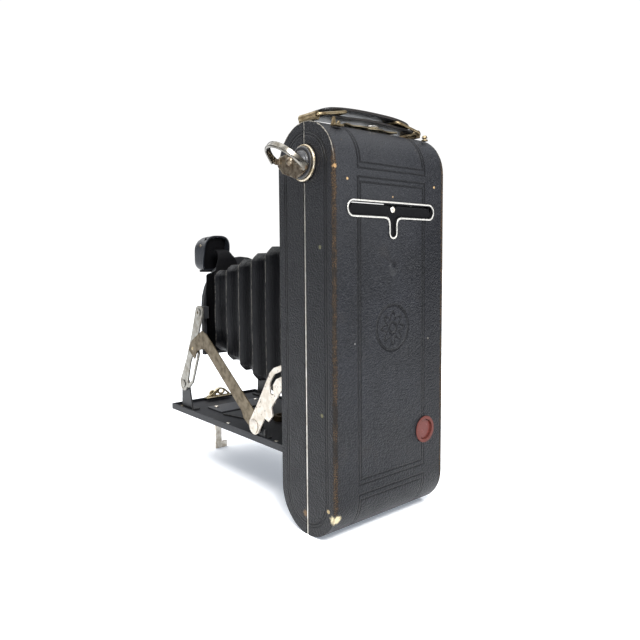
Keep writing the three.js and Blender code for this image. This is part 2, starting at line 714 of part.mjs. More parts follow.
function makeShutterRelease() {
  const y = [BOARD.front - GAP - 6.2, BOARD.front - GAP - 5.2];
  const lever = plateY(barShape(TRIGGER.pivot, TRIGGER.tip, 1.7, 1.2), y, 6);
  return join(lever, round("y", 1.9, [y[0] - 0.6, y[1] + 0.2], TRIGGER.tip, 14));
}

function makeApertureLever() {
  const back = BOARD.front - GAP - 8 - GAP;
  const ring = round("y", 13.4, [back - 1, back], [0, LENS.z], 36);
  const pointer = plateY(barShape([0, LENS.z - 12.6], [0, LENS.z - 19], 1.3, 0.8), [back - 1, back], 6);
  return cut(join(ring, pointer), round("y", 11.2, [-FAR, FAR], [0, LENS.z], 36));
}

function makeStandard() {
  return group(
    piece("lens_board", "black", makeLensBoard()),
    piece("shutter_housing", "black", makeShutter()),
    piece("speed_dial", "nickel", makeSpeedDial()),
    piece("lens_barrel", "black", makeLensBarrel()),
    piece("lens_glass", "glass", makeLensGlass()),
    piece("shutter_release", "nickel", makeShutterRelease()),
    piece("aperture_lever", "nickel", makeApertureLever()),
    piece("finder_bracket", "black", makeFinderBracket()),
  );
}

// The neck that carries the finder: it rises behind it from the top of the board to the swivel.
function makeFinderBracket() {
  const near = FINDER.back + 0.8;
  const neck = plateY(barShape([8, 137], [FINDER.x, FINDER.z], 4.4, 4), [near, near + 1.2], 8);
  const arm = box([4.6, 11.4], [near + 0.6, BOARD.front - GAP], [134, 137.4]);
  const pivot = round("y", 1.4, [FINDER.back - 4.8, near + 1], [FINDER.x, FINDER.z], 14);
  return join(neck, arm, pivot);
}

function finderShape(inset) {
  const { halfWidth, halfHeight } = FINDER;
  const radius = 4.5 - inset;
  const [w, h] = [halfWidth - inset, halfHeight - inset];
  const shape = new THREE.Shape();
  shape.absarc(w - radius, -h + radius, radius, -Math.PI / 2, 0, false);
  shape.absarc(w - radius, h - radius, radius, 0, Math.PI / 2, false);
  shape.absarc(-w + radius, h - radius, radius, Math.PI / 2, Math.PI, false);
  shape.absarc(-w + radius, -h + radius, radius, Math.PI, 1.5 * Math.PI, false);
  return shape;
}

// The finder: a round-cornered hood, open behind, with a viewing glass in front.
function finderWindow(inset, y) {
  const { halfWidth, bottom, top } = FINDER_WINDOW;
  return box([inset - halfWidth, halfWidth - inset], y, [bottom + inset, top - inset]);
}

// The hood is open to the rear, its lower front corner slopes, and a bridge inside it holds the swivel.
function makeFinderBody() {
  const { front, back, halfWidth, halfHeight } = FINDER;
  const hollow = plateY(finderShape(1.2), [front + 9, back + 1], 4);
  const hood = cut(plateY(finderShape(0), [front, back], 4), hollow);
  const halfBridge = halfHeight - 0.8;
  const bridge = box([-1.9, 1.9], [back - 3.6, back - 1.2], [-halfBridge, halfBridge]);
  const below = -halfHeight - 1;
  const slope = [[front + 4.5, -10.4], [front + 1.8, -8], [front, -5.4]];
  const corner = shapeOf([[front - 1, below], [front + 8.5, below], ...slope, [front - 1, -5.4]]);
  return cut(
    join(hood, bridge),
    finderWindow(0, [front - 1, front + 5]),
    plateX(corner, [-halfWidth - 1, halfWidth + 1]),
    round("y", 1.7, [front + 6.5, back + 1], [0, 0], 16),
  );
}

function makeFinderGlass() {
  return finderWindow(GAP, [FINDER.front + 0.6, FINDER.front + 3]);
}

function makeFinder() {
  const made = group(
    piece("finder_body", "black", makeFinderBody()),
    piece("finder_glass", "glass", makeFinderGlass()),
  );
  made.position.set(FINDER.x, 0, FINDER.z);
  return made;
}

// ---- bellows ----
// A tapering tunnel with folds: every section is a rectangle with cut corners, wide and narrow in turn.
function makeBellows() {
  const { front, back, folds } = BELLOWS;
  const wall = 1;
  const depth = 3;
  const sections = [];
  const steps = 2 * folds;
  for (let i = 0; i <= steps; i += 1) {
    const between = (key) => THREE.MathUtils.lerp(front[key], back[key], i / steps);
    const valley = i % 2 === 0 && i > 0 && i < steps ? depth : 0;
    sections.push({
      y: between("y"),
      halfX: between("halfWidth") - valley,
      halfZ: between("halfHeight") - valley,
      middle: between("z"),
      corner: 4,
    });
  }
  const ring = ({ y, halfX, halfZ, middle, corner }, inset) => {
    const [w, h, c] = [halfX - inset, halfZ - inset, corner];
    const upper = [[w, h - c], [w - c, h], [c - w, h], [-w, h - c]];
    const outline = [...upper, ...upper.map(([x, z]) => [-x, -z])];
    return outline.map(([x, z]) => [x, y, z + middle]);
  };
  const sides = 8;
  const points = [];
  sections.forEach((section) => points.push(...ring(section, 0)));
  sections.forEach((section) => points.push(...ring(section, wall)));
  const inner = sections.length * sides;
  const faces = [];
  const quad = (a, b, c, d) => faces.push(a, b, c, a, c, d);
  for (let k = 0; k < sides; k += 1) {
    const next = (k + 1) % sides;
    for (let s = 0; s + 1 < sections.length; s += 1) {
      const [at, ahead] = [s * sides, (s + 1) * sides];
      quad(at + k, ahead + k, ahead + next, at + next);
      quad(inner + at + k, inner + at + next, inner + ahead + next, inner + ahead + k);
    }
    const last = (sections.length - 1) * sides;
    quad(k, next, inner + next, inner + k);
    quad(last + k, inner + last + k, inner + last + next, last + next);
  }
  const geometry = new THREE.BufferGeometry();
  geometry.setAttribute("position", new THREE.Float32BufferAttribute(points.flat(), 3));
  geometry.setIndex(faces);
  return geometry;
}

// ---- carrying strap and latch on the top ----
// The strap in (x, z): an upper layer with free tips and a lower one that runs out to the loops.
function makeStrap() {
  const { halfWidth, y, leather } = STRAP;
  const layer = (points) => {
    const curve = new THREE.CatmullRomCurve3(points.map(([x, z]) => new THREE.Vector3(x, 0, z)));
    const path = curve.getPoints(16);
    const side = (offset) => path.map((p, i) => {
      const along = curve.getTangent(i / 16);
      return [p.x - along.z * offset, p.z + along.x * offset];
    });
    const outline = [...side(leather / 2), ...side(-leather / 2).reverse()];
    return plateY(shapeOf(outline), [y - halfWidth, y + halfWidth]);
  };
  const whole = (half, top) => [...half, [0, top], ...half.map(([x, z]) => [-x, z]).reverse()];
  const upper = layer(whole([[32, 215.2], [27, 216.9], [18, 218]], 218.5));
  const lower = layer(whole([[33.4, 212.9], [27, 213.7], [18, 214.2]], 217.4));
  return join(upper, lower);
}

// A wire loop at one end of the strap: an inner bar between the strap's layers, an outer one in the lug.
function makeStrapLoop(side) {
  const width = STRAP.halfWidth + GAP + LOOP_WIRE + 0.2;
  const corners = [
    new THREE.Vector3(18.6, -width, 216.25),
    new THREE.Vector3(18.6, width, 216.25),
    new THREE.Vector3(LUG.x, width, LUG.z),
    new THREE.Vector3(LUG.x, -width, LUG.z),
  ];
  const up = new THREE.Vector3(0, 1, 0);
  const bars = corners.flatMap((a, i) => {
    const b = corners[(i + 1) % 4];
    const bar = new THREE.CylinderGeometry(LOOP_WIRE, LOOP_WIRE, a.distanceTo(b), 8);
    bar.applyQuaternion(new THREE.Quaternion().setFromUnitVectors(up, b.clone().sub(a).normalize()));
    bar.translate(...a.clone().add(b).multiplyScalar(0.5));
    return [bar, new THREE.SphereGeometry(LOOP_WIRE * 1.02, 8, 5).translate(a.x, a.y, a.z)];
  });
  const loop = join(...bars);
  return (side > 0 ? loop : loop.rotateZ(Math.PI)).translate(0, STRAP.y, 0);
}

function makeStrapLug(side) {
  const { x, z, radius, halfLength } = LUG;
  const y = [STRAP.y - halfLength + 1, STRAP.y + halfLength - 1];
  const foot = BODY.height + GAP;
  const base = box(mirrorLayer([x - 3.6, x + 1.4], side), [y[0], SEAM.front - 0.5], [foot, foot + 1]);
  const web = box(mirrorLayer([x - 1.2, x + 1.4], side), y, [foot, z]);
  return cut(
    join(base, web, round("y", radius, y, [side * x, z], 18)),
    round("y", LOOP_WIRE + 0.35, [-FAR, FAR], [side * x, z], 12),
  );
}

// The latch plate under the strap, with a wavy rear edge.
function makeLatchPlate() {
  const [front, rear] = [-27.5, -15];
  const half = 19;
  const steps = 24;
  const edge = [];
  for (let i = 0; i <= steps; i += 1) {
    const x = half - (2 * half * i) / steps;
    edge.push([x, rear + 0.8 * Math.cos((i / steps) * 6 * Math.PI)]);
  }
  const foot = BODY.height + GAP;
  return plateZ(shapeOf([[-half, front], [half, front], ...edge]), [foot, foot + 0.7]);
}

function makeLatchButton() {
  const foot = BODY.height + GAP + 0.7 + GAP / 2;
  const oval = lathe([[0, 0], [2.6, 0], [2.6, 0.5], [1.9, 1.1], [0, 1.3]], 20);
  return oval.rotateX(Math.PI / 2).scale(1.55, 1, 1).translate(-1, -15.6, foot);
}

function makeTop() {
  return group(
    piece("carry_strap", "leather", makeStrap()),
    piece("strap_loop_right", "bronze", makeStrapLoop(1)),
    piece("strap_loop_left", "bronze", makeStrapLoop(-1)),
    piece("strap_lug_right", "bronze", makeStrapLug(1)),
    piece("strap_lug_left", "bronze", makeStrapLug(-1)),
    piece("latch_plate", "nickel", makeLatchPlate()),
    piece("latch_button", "nickel", makeLatchButton()),
  );
}

// ---- the camera ----
function makeHingePin() {
  const inner = BODY.halfWidth - BODY.wall - GAP;
  return round("x", 1.6, [-inner, inner], [HINGE.y, HINGE.z], 16);
}

function makeCamera() {
  return group(
    makeBody(),
    makeBack(),
    makeKey(),
    piece("takeup_spool", "wood", makeSpool(KEY_AXIS.z, 3.3)),
    piece("bed_hinge_pin", "nickel", makeHingePin()),
    makeBedGroup(),
    piece("bed_foot", "nickel", makeBedFoot()),
    piece("foot_pin", "nickel", round("x", FOOT.pin, [-6, 6], [FOOT.y, FOOT.z], 10)),
    makeLinkage("right", 1),
    makeLinkage("left", -1),
    makeStandard(),
    makeFinder(),
    piece("bellows", "cloth", makeBellows()),
    makeTop(),
  );
}

const camera = makeCamera();
camera.updateMatrixWorld(true);
const reach = new THREE.Box3().setFromObject(camera, true);
camera.position.set(-(reach.min.x + reach.max.x) / 2, -(reach.min.y + reach.max.y) / 2, -reach.min.z);

export default camera;
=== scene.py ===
import math

import bmesh
import bpy
from mathutils import Matrix, Vector, noise


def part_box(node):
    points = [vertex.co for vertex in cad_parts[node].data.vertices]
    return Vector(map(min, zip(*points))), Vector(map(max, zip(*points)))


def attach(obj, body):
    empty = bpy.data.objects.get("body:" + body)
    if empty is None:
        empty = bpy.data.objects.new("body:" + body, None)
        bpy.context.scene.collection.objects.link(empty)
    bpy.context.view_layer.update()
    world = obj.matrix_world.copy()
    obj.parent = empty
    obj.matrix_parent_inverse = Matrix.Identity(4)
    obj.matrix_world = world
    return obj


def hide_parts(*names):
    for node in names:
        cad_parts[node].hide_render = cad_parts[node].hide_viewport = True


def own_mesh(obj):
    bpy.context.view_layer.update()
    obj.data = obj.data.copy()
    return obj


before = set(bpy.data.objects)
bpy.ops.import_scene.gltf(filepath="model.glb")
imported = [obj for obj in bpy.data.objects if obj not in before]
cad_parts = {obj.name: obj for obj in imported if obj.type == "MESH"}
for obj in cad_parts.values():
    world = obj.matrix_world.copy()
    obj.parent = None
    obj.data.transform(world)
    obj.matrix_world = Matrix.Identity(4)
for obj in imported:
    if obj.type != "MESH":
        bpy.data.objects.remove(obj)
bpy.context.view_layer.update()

# ---- Body millimetres ----
# x = 0 in the middle of the body, y = 0 on the flat back, z = 0 on the floor, lens towards -y.
SHELL_LOW, SHELL_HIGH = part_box("body_shell")
ORIGIN = Vector(((SHELL_LOW.x + SHELL_HIGH.x) / 2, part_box("back_cover")[1].y, SHELL_LOW.z - 0.0001))
MM = 0.001

# The case seen from its side: two straight edges of half length STRAIGHT, with round ends.
SIDE = 40.5
END_RADIUS = 21.5
MIDDLE_Y = -21.5
MIDDLE_Z = 105
STRAIGHT = 83.5

# Heights of the two marks in the middle of the back.
ROSETTE_Z = 106.6
BOSS_Z = 137.5


def P(x, y, z):
    """A point given in body millimetres, in the row frame."""
    return ORIGIN + Vector((x, y, z)) * MM


# ---- Camera, lights and floor ----
def make_camera():
    azimuth, pitch, roll = math.radians(140.17), math.radians(4.49), math.radians(-0.5)
    back = Vector((
        math.sin(azimuth) * math.cos(pitch),
        -math.cos(azimuth) * math.cos(pitch),
        math.sin(pitch),
    ))
    right = Vector((0, 0, 1)).cross(back).normalized()
    up = back.cross(right)
    rolled_right = right * math.cos(roll) + up * math.sin(roll)
    rolled_up = back.cross(rolled_right)
    data = bpy.data.cameras.new("camera")
    data.sensor_width = 36
    data.lens = 33.852
    data.shift_x, data.shift_y = 0.0089, -0.0203
    data.clip_start, data.clip_end = 0.01, 50
    camera = bpy.data.objects.new("camera", data)
    bpy.context.collection.objects.link(camera)
    camera.matrix_world = Matrix((
        (rolled_right.x, rolled_up.x, back.x, 0),
        (rolled_right.y, rolled_up.y, back.y, 0),
        (rolled_right.z, rolled_up.z, back.z, 0),
        (0, 0, 0, 1),
    ))
    camera.location = P(230.62, 212.97, 142.14)
    bpy.context.scene.camera = camera


def area_light(name, place, target, size, power):
    data = bpy.data.lights.new(name, "AREA")
    data.shape = "DISK"
    data.size = size
    data.energy = power
    light = bpy.data.objects.new(name, data)
    bpy.context.collection.objects.link(light)
    light.location = place
    light.rotation_mode = "QUATERNION"
    light.rotation_quaternion = (Vector(target) - Vector(place)).to_track_quat("-Z", "Y")


def make_sky():
    scene = bpy.context.scene
    scene.view_settings.view_transform = "Standard"
    world = bpy.data.worlds.new("studio")
    scene.world = world
    world.use_nodes = True
    tree = world.node_tree
    # The camera sees plain white; the object is lit by a sky that is dark at the horizon and bright overhead.
    sky = tree.nodes["Background"]
    sky.inputs["Color"].default_value = (0.93, 0.96, 1.0, 1)
    direction = tree.nodes.new("ShaderNodeTexCoord")
    split = tree.nodes.new("ShaderNodeSeparateXYZ")
    rise = tree.nodes.new("ShaderNodeMapRange")
    rise.interpolation_type = "SMOOTHSTEP"
    rise.inputs["From Min"].default_value = 0.12
    rise.inputs["From Max"].default_value = 0.8
    rise.inputs["To Min"].default_value = 0.03
    rise.inputs["To Max"].default_value = 0.95
    tree.links.new(direction.outputs["Generated"], split.inputs[0])
    tree.links.new(split.outputs["Z"], rise.inputs["Value"])
    tree.links.new(rise.outputs["Result"], sky.inputs["Strength"])
    seen = tree.nodes.new("ShaderNodeBackground")
    seen.inputs["Color"].default_value = (1, 1, 1, 1)
    seen.inputs["Strength"].default_value = 1.05
    path = tree.nodes.new("ShaderNodeLightPath")
    choice = tree.nodes.new("ShaderNodeMixShader")
    tree.links.new(path.outputs["Is Camera Ray"], choice.inputs[0])
    tree.links.new(sky.outputs[0], choice.inputs[1])
    tree.links.new(seen.outputs[0], choice.inputs[2])
    tree.links.new(choice.outputs[0], tree.nodes["World Output"].inputs["Surface"])


def make_lights():
    sun = bpy.data.lights.new("overhead", "SUN")
    sun.energy = 1.9
    sun.angle = math.radians(60)
    lamp = bpy.data.objects.new("overhead", sun)
    lamp.rotation_euler = (math.radians(14), math.radians(10), 0)
    bpy.context.collection.objects.link(lamp)
    area_light("key", (0.3, 0.62, 0.68), (0, 0.08, 0.19), 0.3, 11)
    area_light("fill", (1.5, -0.2, 0.6), (0, -0.05, 0.1), 0.5, 1.5)
    area_light("front", (0.1, -1.5, 0.9), (0, 0, 0.1), 1.0, 4)


def make_floor():
    half = 6
    mesh = bpy.data.meshes.new("floor")
    corners = [(-half, -half, 0), (half, -half, 0), (half, half, 0), (-half, half, 0)]
    mesh.from_pydata(corners, [], [(0, 1, 2, 3)])
    floor = bpy.data.objects.new("floor", mesh)
    floor.location.z = -0.00005
    bpy.context.collection.objects.link(floor)
    shade = Shader("floor_white")
    shade.set("Base Color", (0.93, 0.93, 0.93, 1))
    shade.set("Roughness", 0.9)
    shade.set("Specular IOR Level", 0.0)
    # A faint glow lifts the shadow, as a lit table does.
    shade.set("Emission Color", (0.80, 0.88, 1.0, 1))
    shade.set("Emission Strength", 0.3)
    mesh.materials.append(shade.material)


# ---- Node materials. Every pattern is measured in body millimetres. ----
class Shader:
    """A node material built with short calls; each call gives the socket of its result."""

    def __init__(self, name):
        self.material = bpy.data.materials.new(name)
        self.material.use_nodes = True
        self.tree = self.material.node_tree
        self.tree.nodes.clear()
        self.bsdf = self.node("ShaderNodeBsdfPrincipled")
        self.output = self.node("ShaderNodeOutputMaterial")
        self.tree.links.new(self.bsdf.outputs["BSDF"], self.output.inputs["Surface"])

    def node(self, kind, **properties):
        made = self.tree.nodes.new(kind)
        for key, value in properties.items():
            setattr(made, key, value)
        return made

    def put(self, socket, value):
        if isinstance(value, bpy.types.NodeSocket):
            self.tree.links.new(value, socket)
        else:
            socket.default_value = value

    def set(self, name, value):
        self.put(self.bsdf.inputs[name], value)

    def place(self):
        """Body millimetres at the shaded point, as a vector."""
        coordinates = self.node("ShaderNodeTexCoord").outputs["Object"]
        moved = self.node("ShaderNodeVectorMath", operation="SUBTRACT")
        self.put(moved.inputs[0], coordinates)
        moved.inputs[1].default_value = ORIGIN
        scaled = self.node("ShaderNodeVectorMath", operation="SCALE")
        self.put(scaled.inputs[0], moved.outputs["Vector"])
        scaled.inputs["Scale"].default_value = 1000
        return scaled.outputs["Vector"]

    def split(self, vector):
        made = self.node("ShaderNodeSeparateXYZ")
        self.put(made.inputs[0], vector)
        return made.outputs["X"], made.outputs["Y"], made.outputs["Z"]

    def math(self, operation, a, b=0.0, c=0.0):
        made = self.node("ShaderNodeMath", operation=operation)
        self.put(made.inputs[0], a)
        self.put(made.inputs[1], b)
        self.put(made.inputs[2], c)
        return made.outputs[0]

    def plus(self, a, b):
        return self.math("ADD", a, b)

    def minus(self, a, b):
        return self.math("SUBTRACT", a, b)

    def times(self, a, b):
        return self.math("MULTIPLY", a, b)

    def larger(self, a, b):
        return self.math("MAXIMUM", a, b)

    def absolute(self, a):
        return self.math("ABSOLUTE", a)

    def hypotenuse(self, a, b):
        return self.math("SQRT", self.plus(self.times(a, a), self.times(b, b)))

    def steps(self, value, low, high, to_low=0.0, to_high=1.0):
        """Rises smoothly from to_low at low to to_high at high."""
        made = self.node("ShaderNodeMapRange", interpolation_type="SMOOTHSTEP")
        self.put(made.inputs["Value"], value)
        self.put(made.inputs["From Min"], low)
        self.put(made.inputs["From Max"], high)
        self.put(made.inputs["To Min"], to_low)
        self.put(made.inputs["To Max"], to_high)
        return made.outputs["Result"]

    def noise(self, scale, detail=3.0, roughness=0.55, vector=None, distortion=0.0):
        made = self.node("ShaderNodeTexNoise")
        self.put(made.inputs["Vector"], vector or self.place())
        made.inputs["Scale"].default_value = scale
        made.inputs["Detail"].default_value = detail
        made.inputs["Roughness"].default_value = roughness
        made.inputs["Distortion"].default_value = distortion
        return made.outputs["Fac"]

    def cells(self, scale, feature="F1", vector=None):
        made = self.node("ShaderNodeTexVoronoi", feature=feature)
        self.put(made.inputs["Vector"], vector or self.place())
        made.inputs["Scale"].default_value = scale
        return made.outputs["Distance"]

    def mix(self, factor, a, b):
        made = self.node("ShaderNodeMix", data_type="RGBA")
        self.put(made.inputs[0], factor)
        self.put(made.inputs[6], a if isinstance(a, bpy.types.NodeSocket) else (*a, 1))
        self.put(made.inputs[7], b if isinstance(b, bpy.types.NodeSocket) else (*b, 1))
        return made.outputs[2]

    def blend(self, factor, a, b):
        made = self.node("ShaderNodeMix", data_type="FLOAT")
        self.put(made.inputs[0], factor)
        self.put(made.inputs[2], a)
        self.put(made.inputs[3], b)
        return made.outputs[0]

    def distance(self, vector, centre):
        made = self.node("ShaderNodeVectorMath", operation="DISTANCE")
        self.put(made.inputs[0], vector)
        made.inputs[1].default_value = centre
        return made.outputs["Value"]

    def raised(self, height, strength=1.0):
        """Bends the normal by a height in millimetres."""
        made = self.node("ShaderNodeBump")
        made.inputs["Distance"].default_value = MM
        made.inputs["Strength"].default_value = strength
        self.put(made.inputs["Height"], height)
        self.put(self.bsdf.inputs["Normal"], made.outputs["Normal"])

    def edges(self, radius):
        """About 1 on worn convex edges, 0 on open faces."""
        bevel = self.node("ShaderNodeBevel", samples=4)
        bevel.inputs["Radius"].default_value = radius * MM
        normal = self.node("ShaderNodeNewGeometry").outputs["Normal"]
        dot = self.node("ShaderNodeVectorMath", operation="DOT_PRODUCT")
        self.put(dot.inputs[0], bevel.outputs["Normal"])
        self.put(dot.inputs[1], normal)
        return self.steps(self.minus(1.0, dot.outputs["Value"]), 0.02, 0.2)


def line(s, value, at, half_width=0.6):
    """1 where value is close to at."""
    away = s.absolute(s.minus(value, at))
    return s.steps(away, half_width * 0.4, half_width, 1.0, 0.0)


def box_distance(s, a, b, centre, half):
    """Signed distance, without round corners, from a box in the plane of a and b."""
    da = s.minus(s.absolute(s.minus(a, centre[0])), half[0])
    db = s.minus(s.absolute(s.minus(b, centre[1])), half[1])
    return s.larger(da, db)


def union(s, values):
    total = values[0]
    for value in values[1:]:
        total = s.larger(total, value)
    return total


def leather_grain(s, place):
    """Height in millimetres of a pebbled grain with pores and soft folds, and the pebbles alone, 0 to 1."""
    pebble = s.steps(s.cells(1.3, "SMOOTH_F1", place), 0.15, 0.75, 1.0, 0.0)
    fine = s.noise(1.9, 5, 0.7, place)
    folds = s.noise(0.12, 4, 0.6, place)
    height = s.plus(s.times(pebble, 0.19), s.times(fine, 0.11))
    return s.plus(height, s.times(folds, 0.2)), pebble


def leatherette(name, pressed_lines):
    """Black grained leathercloth with pressed lines, worn edges and small stains, with painted light and
    shade in its colour.
    """
    s = Shader(name)
    place = s.place()
    x, y, z = s.split(place)
    grain, pebble = leather_grain(s, place)
    tone = s.steps(s.noise(0.03, 4, 0.6, place), 0.3, 0.7)
    colour = s.mix(tone, (0.0038, 0.0042, 0.0058), (0.0082, 0.009, 0.0125))
    brown = s.steps(s.noise(0.06, 3, 0.5, place, 0.4), 0.55, 0.75)
    colour = s.mix(s.times(brown, 0.5), colour, (0.0125, 0.011, 0.010))
    tops = s.times(pebble, s.steps(s.noise(0.5, 5, 0.75, place), 0.42, 0.7))
    colour = s.mix(s.times(tops, 0.5), colour, (0.045, 0.046, 0.05))
    # Painted light: the upper part of the back is made lighter, more so towards the +x side.
    painted_top_light = s.times(s.steps(z, 120.0, 190.0), s.steps(x, -40.0, 10.0, 0.35, 1.0))
    colour = s.mix(s.times(painted_top_light, 0.6), colour, (0.029, 0.030, 0.033))
    shaded = s.times(s.steps(x, -36.0, -8.0, 1.0, 0.0), s.steps(z, 150.0, 185.0, 1.0, 0.0))
    shaded = s.larger(shaded, s.steps(z, 18.0, 52.0, 0.8, 0.0))
    colour = s.mix(s.times(shaded, 0.8), colour, (0.0022, 0.0025, 0.0042))
    # Painted shade: the narrow side faces are darkened.
    kept = s.steps(s.absolute(x), SIDE - 1.4, SIDE - 0.7)
    colour = s.mix(s.times(kept, 0.75), colour, (0.004, 0.0042, 0.0055))
    dust = s.steps(s.noise(1.2, 5, 0.75, place), 0.66, 0.76)
    colour = s.mix(s.times(dust, 0.6), colour, (0.10, 0.095, 0.09))
    roughness = s.blend(s.noise(0.09, 3, 0.5, place), 0.36, 0.56)
    pressed = union(s, pressed_lines(s, x, y, z))
    # Painted shade: the pressed lines are darkened in colour as well as sunk by the bump.
    colour = s.mix(s.times(pressed, 0.75), colour, (0.002, 0.002, 0.003))
    # Wear along the long edge of the back, where the covering is rubbed to brown board.
    side = s.minus(SIDE, s.absolute(x))
    straight = s.steps(s.absolute(s.minus(z, MIDDLE_Z)), STRAIGHT + 2, STRAIGHT + 9, 1.0, 0.0)
    depth = s.absolute(y)
    ragged = s.plus(s.larger(side, depth), s.times(s.noise(0.45, 5, 0.7, place), 3.4))
    dark_edge = s.times(s.steps(ragged, 3.0, 3.8, 1.0, 0.0), straight)
    colour = s.mix(s.times(dark_edge, 0.85), colour, (0.0045, 0.0034, 0.0028))
    patchy = s.steps(s.noise(0.09, 3, 0.6, place), 0.36, 0.56, 0.2, 1.0)
    specks = s.times(s.steps(s.noise(2.0, 4, 0.8, place), 0.52, 0.58), patchy)
    specks = s.times(s.steps(ragged, 2.8, 3.6, 1.0, 0.0), specks)
    rust = s.mix(s.noise(0.9, 3, 0.6, place), (0.05, 0.024, 0.011), (0.24, 0.145, 0.065))
    colour = s.mix(s.times(specks, straight), colour, rust)
    # The curved top edge is pale, partly rubbed through to the pale ground of the cloth and partly a painted
    # highlight along the edge.
    curve = s.larger(side, s.minus(END_RADIUS, end_distance(s, y, z)))
    frayed = s.plus(curve, s.times(s.noise(0.7, 5, 0.7, place), 1.6))
    pale_edge = s.times(s.steps(frayed, 0.85, 1.25, 1.0, 0.0), s.steps(z, 186.0, 200.0))
    colour = s.mix(s.times(pale_edge, 0.8), colour, (0.36, 0.33, 0.28))
    roughness = s.blend(s.larger(dark_edge, pale_edge), roughness, 0.72)
    for centre, radius, tint in STAINS:
        away = s.plus(s.distance(place, centre), s.times(s.noise(0.9, 4, 0.7, place), radius * 1.2))
        spot = s.steps(away, radius * 1.1, radius * 1.6, 1.0, 0.0)
        colour = s.mix(spot, colour, tint)
    height = s.minus(grain, s.times(pressed, 1.7))
    # A slight boss lies under the covering, above the rosette.
    boss = s.steps(s.distance(place, (0, 0, BOSS_Z)), 0.0, 4.2, 1.0, 0.0)
    height = s.plus(height, s.times(boss, 1.9))
    s.raised(height)
    s.set("Base Color", colour)
    s.set("Roughness", roughness)
    s.set("Specular IOR Level", 0.25)
    return s.material


# Stains and chips: centre in body millimetres, size, colour.
STAINS = [
    ((31.8, 0, 180.7), 0.9, (0.36, 0.24, 0.12)),
    ((-32.7, 0, 180.8), 0.9, (0.36, 0.24, 0.12)),
    ((0, 0, 173.8), 0.6, (0.30, 0.20, 0.11)),
    ((38.5, -2.2, 14), 3.3, (0.62, 0.53, 0.33)),
    ((40.5, -5.5, 17.5), 1.3, (0.50, 0.38, 0.2)),
    ((33, -1.6, 200), 1.6, (0.30, 0.19, 0.09)),
    ((39.6, -0.5, 186), 1.4, (0.33, 0.2, 0.09)),
    ((40.5, -9.8, 65.0), 1.3, (0.10, 0.095, 0.045)),
    ((40.5, -10.3, 148.2), 1.3, (0.08, 0.078, 0.045)),
    ((40.5, -23.5, 11.0), 2.2, (0.12, 0.07, 0.03)),
    ((27.1, 0, 100.6), 0.6, (0.14, 0.14, 0.14)),
    ((-28.4, 0, 98.5), 0.7, (0.11, 0.10, 0.085)),
]


def end_distance(s, y, z):
    """Distance of a point from the middle line of the body's round-ended side."""
    across = s.minus(y, MIDDLE_Y)
    along = s.larger(s.minus(s.absolute(s.minus(z, MIDDLE_Z)), STRAIGHT), 0.0)
    return s.hypotenuse(across, along)


def side_lines(s, x, y, z):
    """The double line pressed into each side, a constant way in from the edge."""
    inset = s.minus(END_RADIUS, end_distance(s, y, z))
    on_side = s.steps(s.absolute(x), SIDE - 1.2, SIDE - 0.6)
    return [s.times(on_side, line(s, inset, at)) for at in (5.2, 6.7)]


def back_lines(s, x, y, z):
    """The double-line panels of the back and a plain embossed rosette."""
    marks = side_lines(s, x, y, z)
    far = 100
    for half_x, low, high in ((24.9, 28.6, 182.3), (23.2, 31.2, 179.8)):
        box = box_distance(s, x, z, (0, (low + high) / 2), (half_x, (high - low) / 2))
        marks.append(line(s, box, 0.0))
    for half_x, start in ((24.9, 186.6), (23.2, 189.3)):
        top = box_distance(s, x, z, (0, start + far), (half_x, far))
        bottom = box_distance(s, x, z, (0, 2 * MIDDLE_Z - start - far), (half_x, far))
        marks.append(line(s, top, 0.0))
        marks.append(line(s, bottom, 0.0))
    rise = s.minus(z, ROSETTE_Z)
    radius = s.hypotenuse(x, rise)
    angle = s.math("ARCTAN2", rise, x)
    petal = s.plus(6.6, s.times(s.math("COSINE", s.times(angle, 8.0)), 1.7))
    marks.append(line(s, radius, 11.8, 0.9))
    marks.append(line(s, s.minus(radius, petal), 0.0, 1.0))
    marks.append(line(s, radius, 2.8, 0.9))
    return marks


def metal(name, bright, dull, rust, roughness=0.32, freckles=0.62, patches=0.5, scratch=0.02, clean=1.0,
          speck=1.5):
    """Old plate: two tones in soft patches, dark freckles and a faint brushed scratch."""
    s = Shader(name)
    place = s.place()
    patch = s.steps(s.noise(0.22, 5, 0.6, place), patches - 0.12, patches + 0.16)
    colour = s.mix(patch, bright, dull)
    spots = s.steps(s.noise(speck, 6, 0.7, place), freckles, freckles + 0.08)
    colour = s.mix(spots, colour, rust)
    fine = s.noise(5.5, 3, 0.6, place)
    s.set("Base Color", colour)
    s.set("Metallic", s.blend(spots, clean, 0.15))
    s.set("Roughness", s.blend(spots, s.blend(patch, roughness, roughness + 0.2), 0.8))
    s.raised(s.plus(s.times(fine, scratch), s.times(spots, -0.03)))
    return s.material


def enamel(name, colour, under, roughness=0.3, wear=0.75):
    """Black enamel, dusty and rubbed through to the metal on its edges."""
    s = Shader(name)
    place = s.place()
    tone = s.noise(0.3, 4, 0.6, place)
    lighter = tuple(c * 2.2 + 0.004 for c in colour)
    base = s.mix(tone, colour, lighter)
    chips = s.steps(s.noise(0.9, 6, 0.7, place), 0.42, 0.62)
    worn = s.times(s.times(s.edges(0.45), chips), wear)
    s.set("Base Color", s.mix(worn, base, under))
    s.set("Metallic", worn)
    s.set("Roughness", s.blend(tone, roughness, roughness + 0.18))
    s.raised(s.times(s.noise(2.2, 4, 0.6, place), 0.012))
    return s.material


def simple(name, low, high, scale, roughness, height=0.02, metallic=0.0, specular=0.5):
    """Paint, cloth or celluloid: one tone that drifts into another."""
    s = Shader(name)
    place = s.place()
    tone = s.noise(scale, 5, 0.6, place)
    s.set("Base Color", s.mix(tone, low, high))
    s.set("Roughness", s.blend(tone, roughness, roughness + 0.12))
    s.set("Metallic", metallic)
    s.set("Specular IOR Level", specular)
    s.raised(s.times(tone, height))
    return s.material


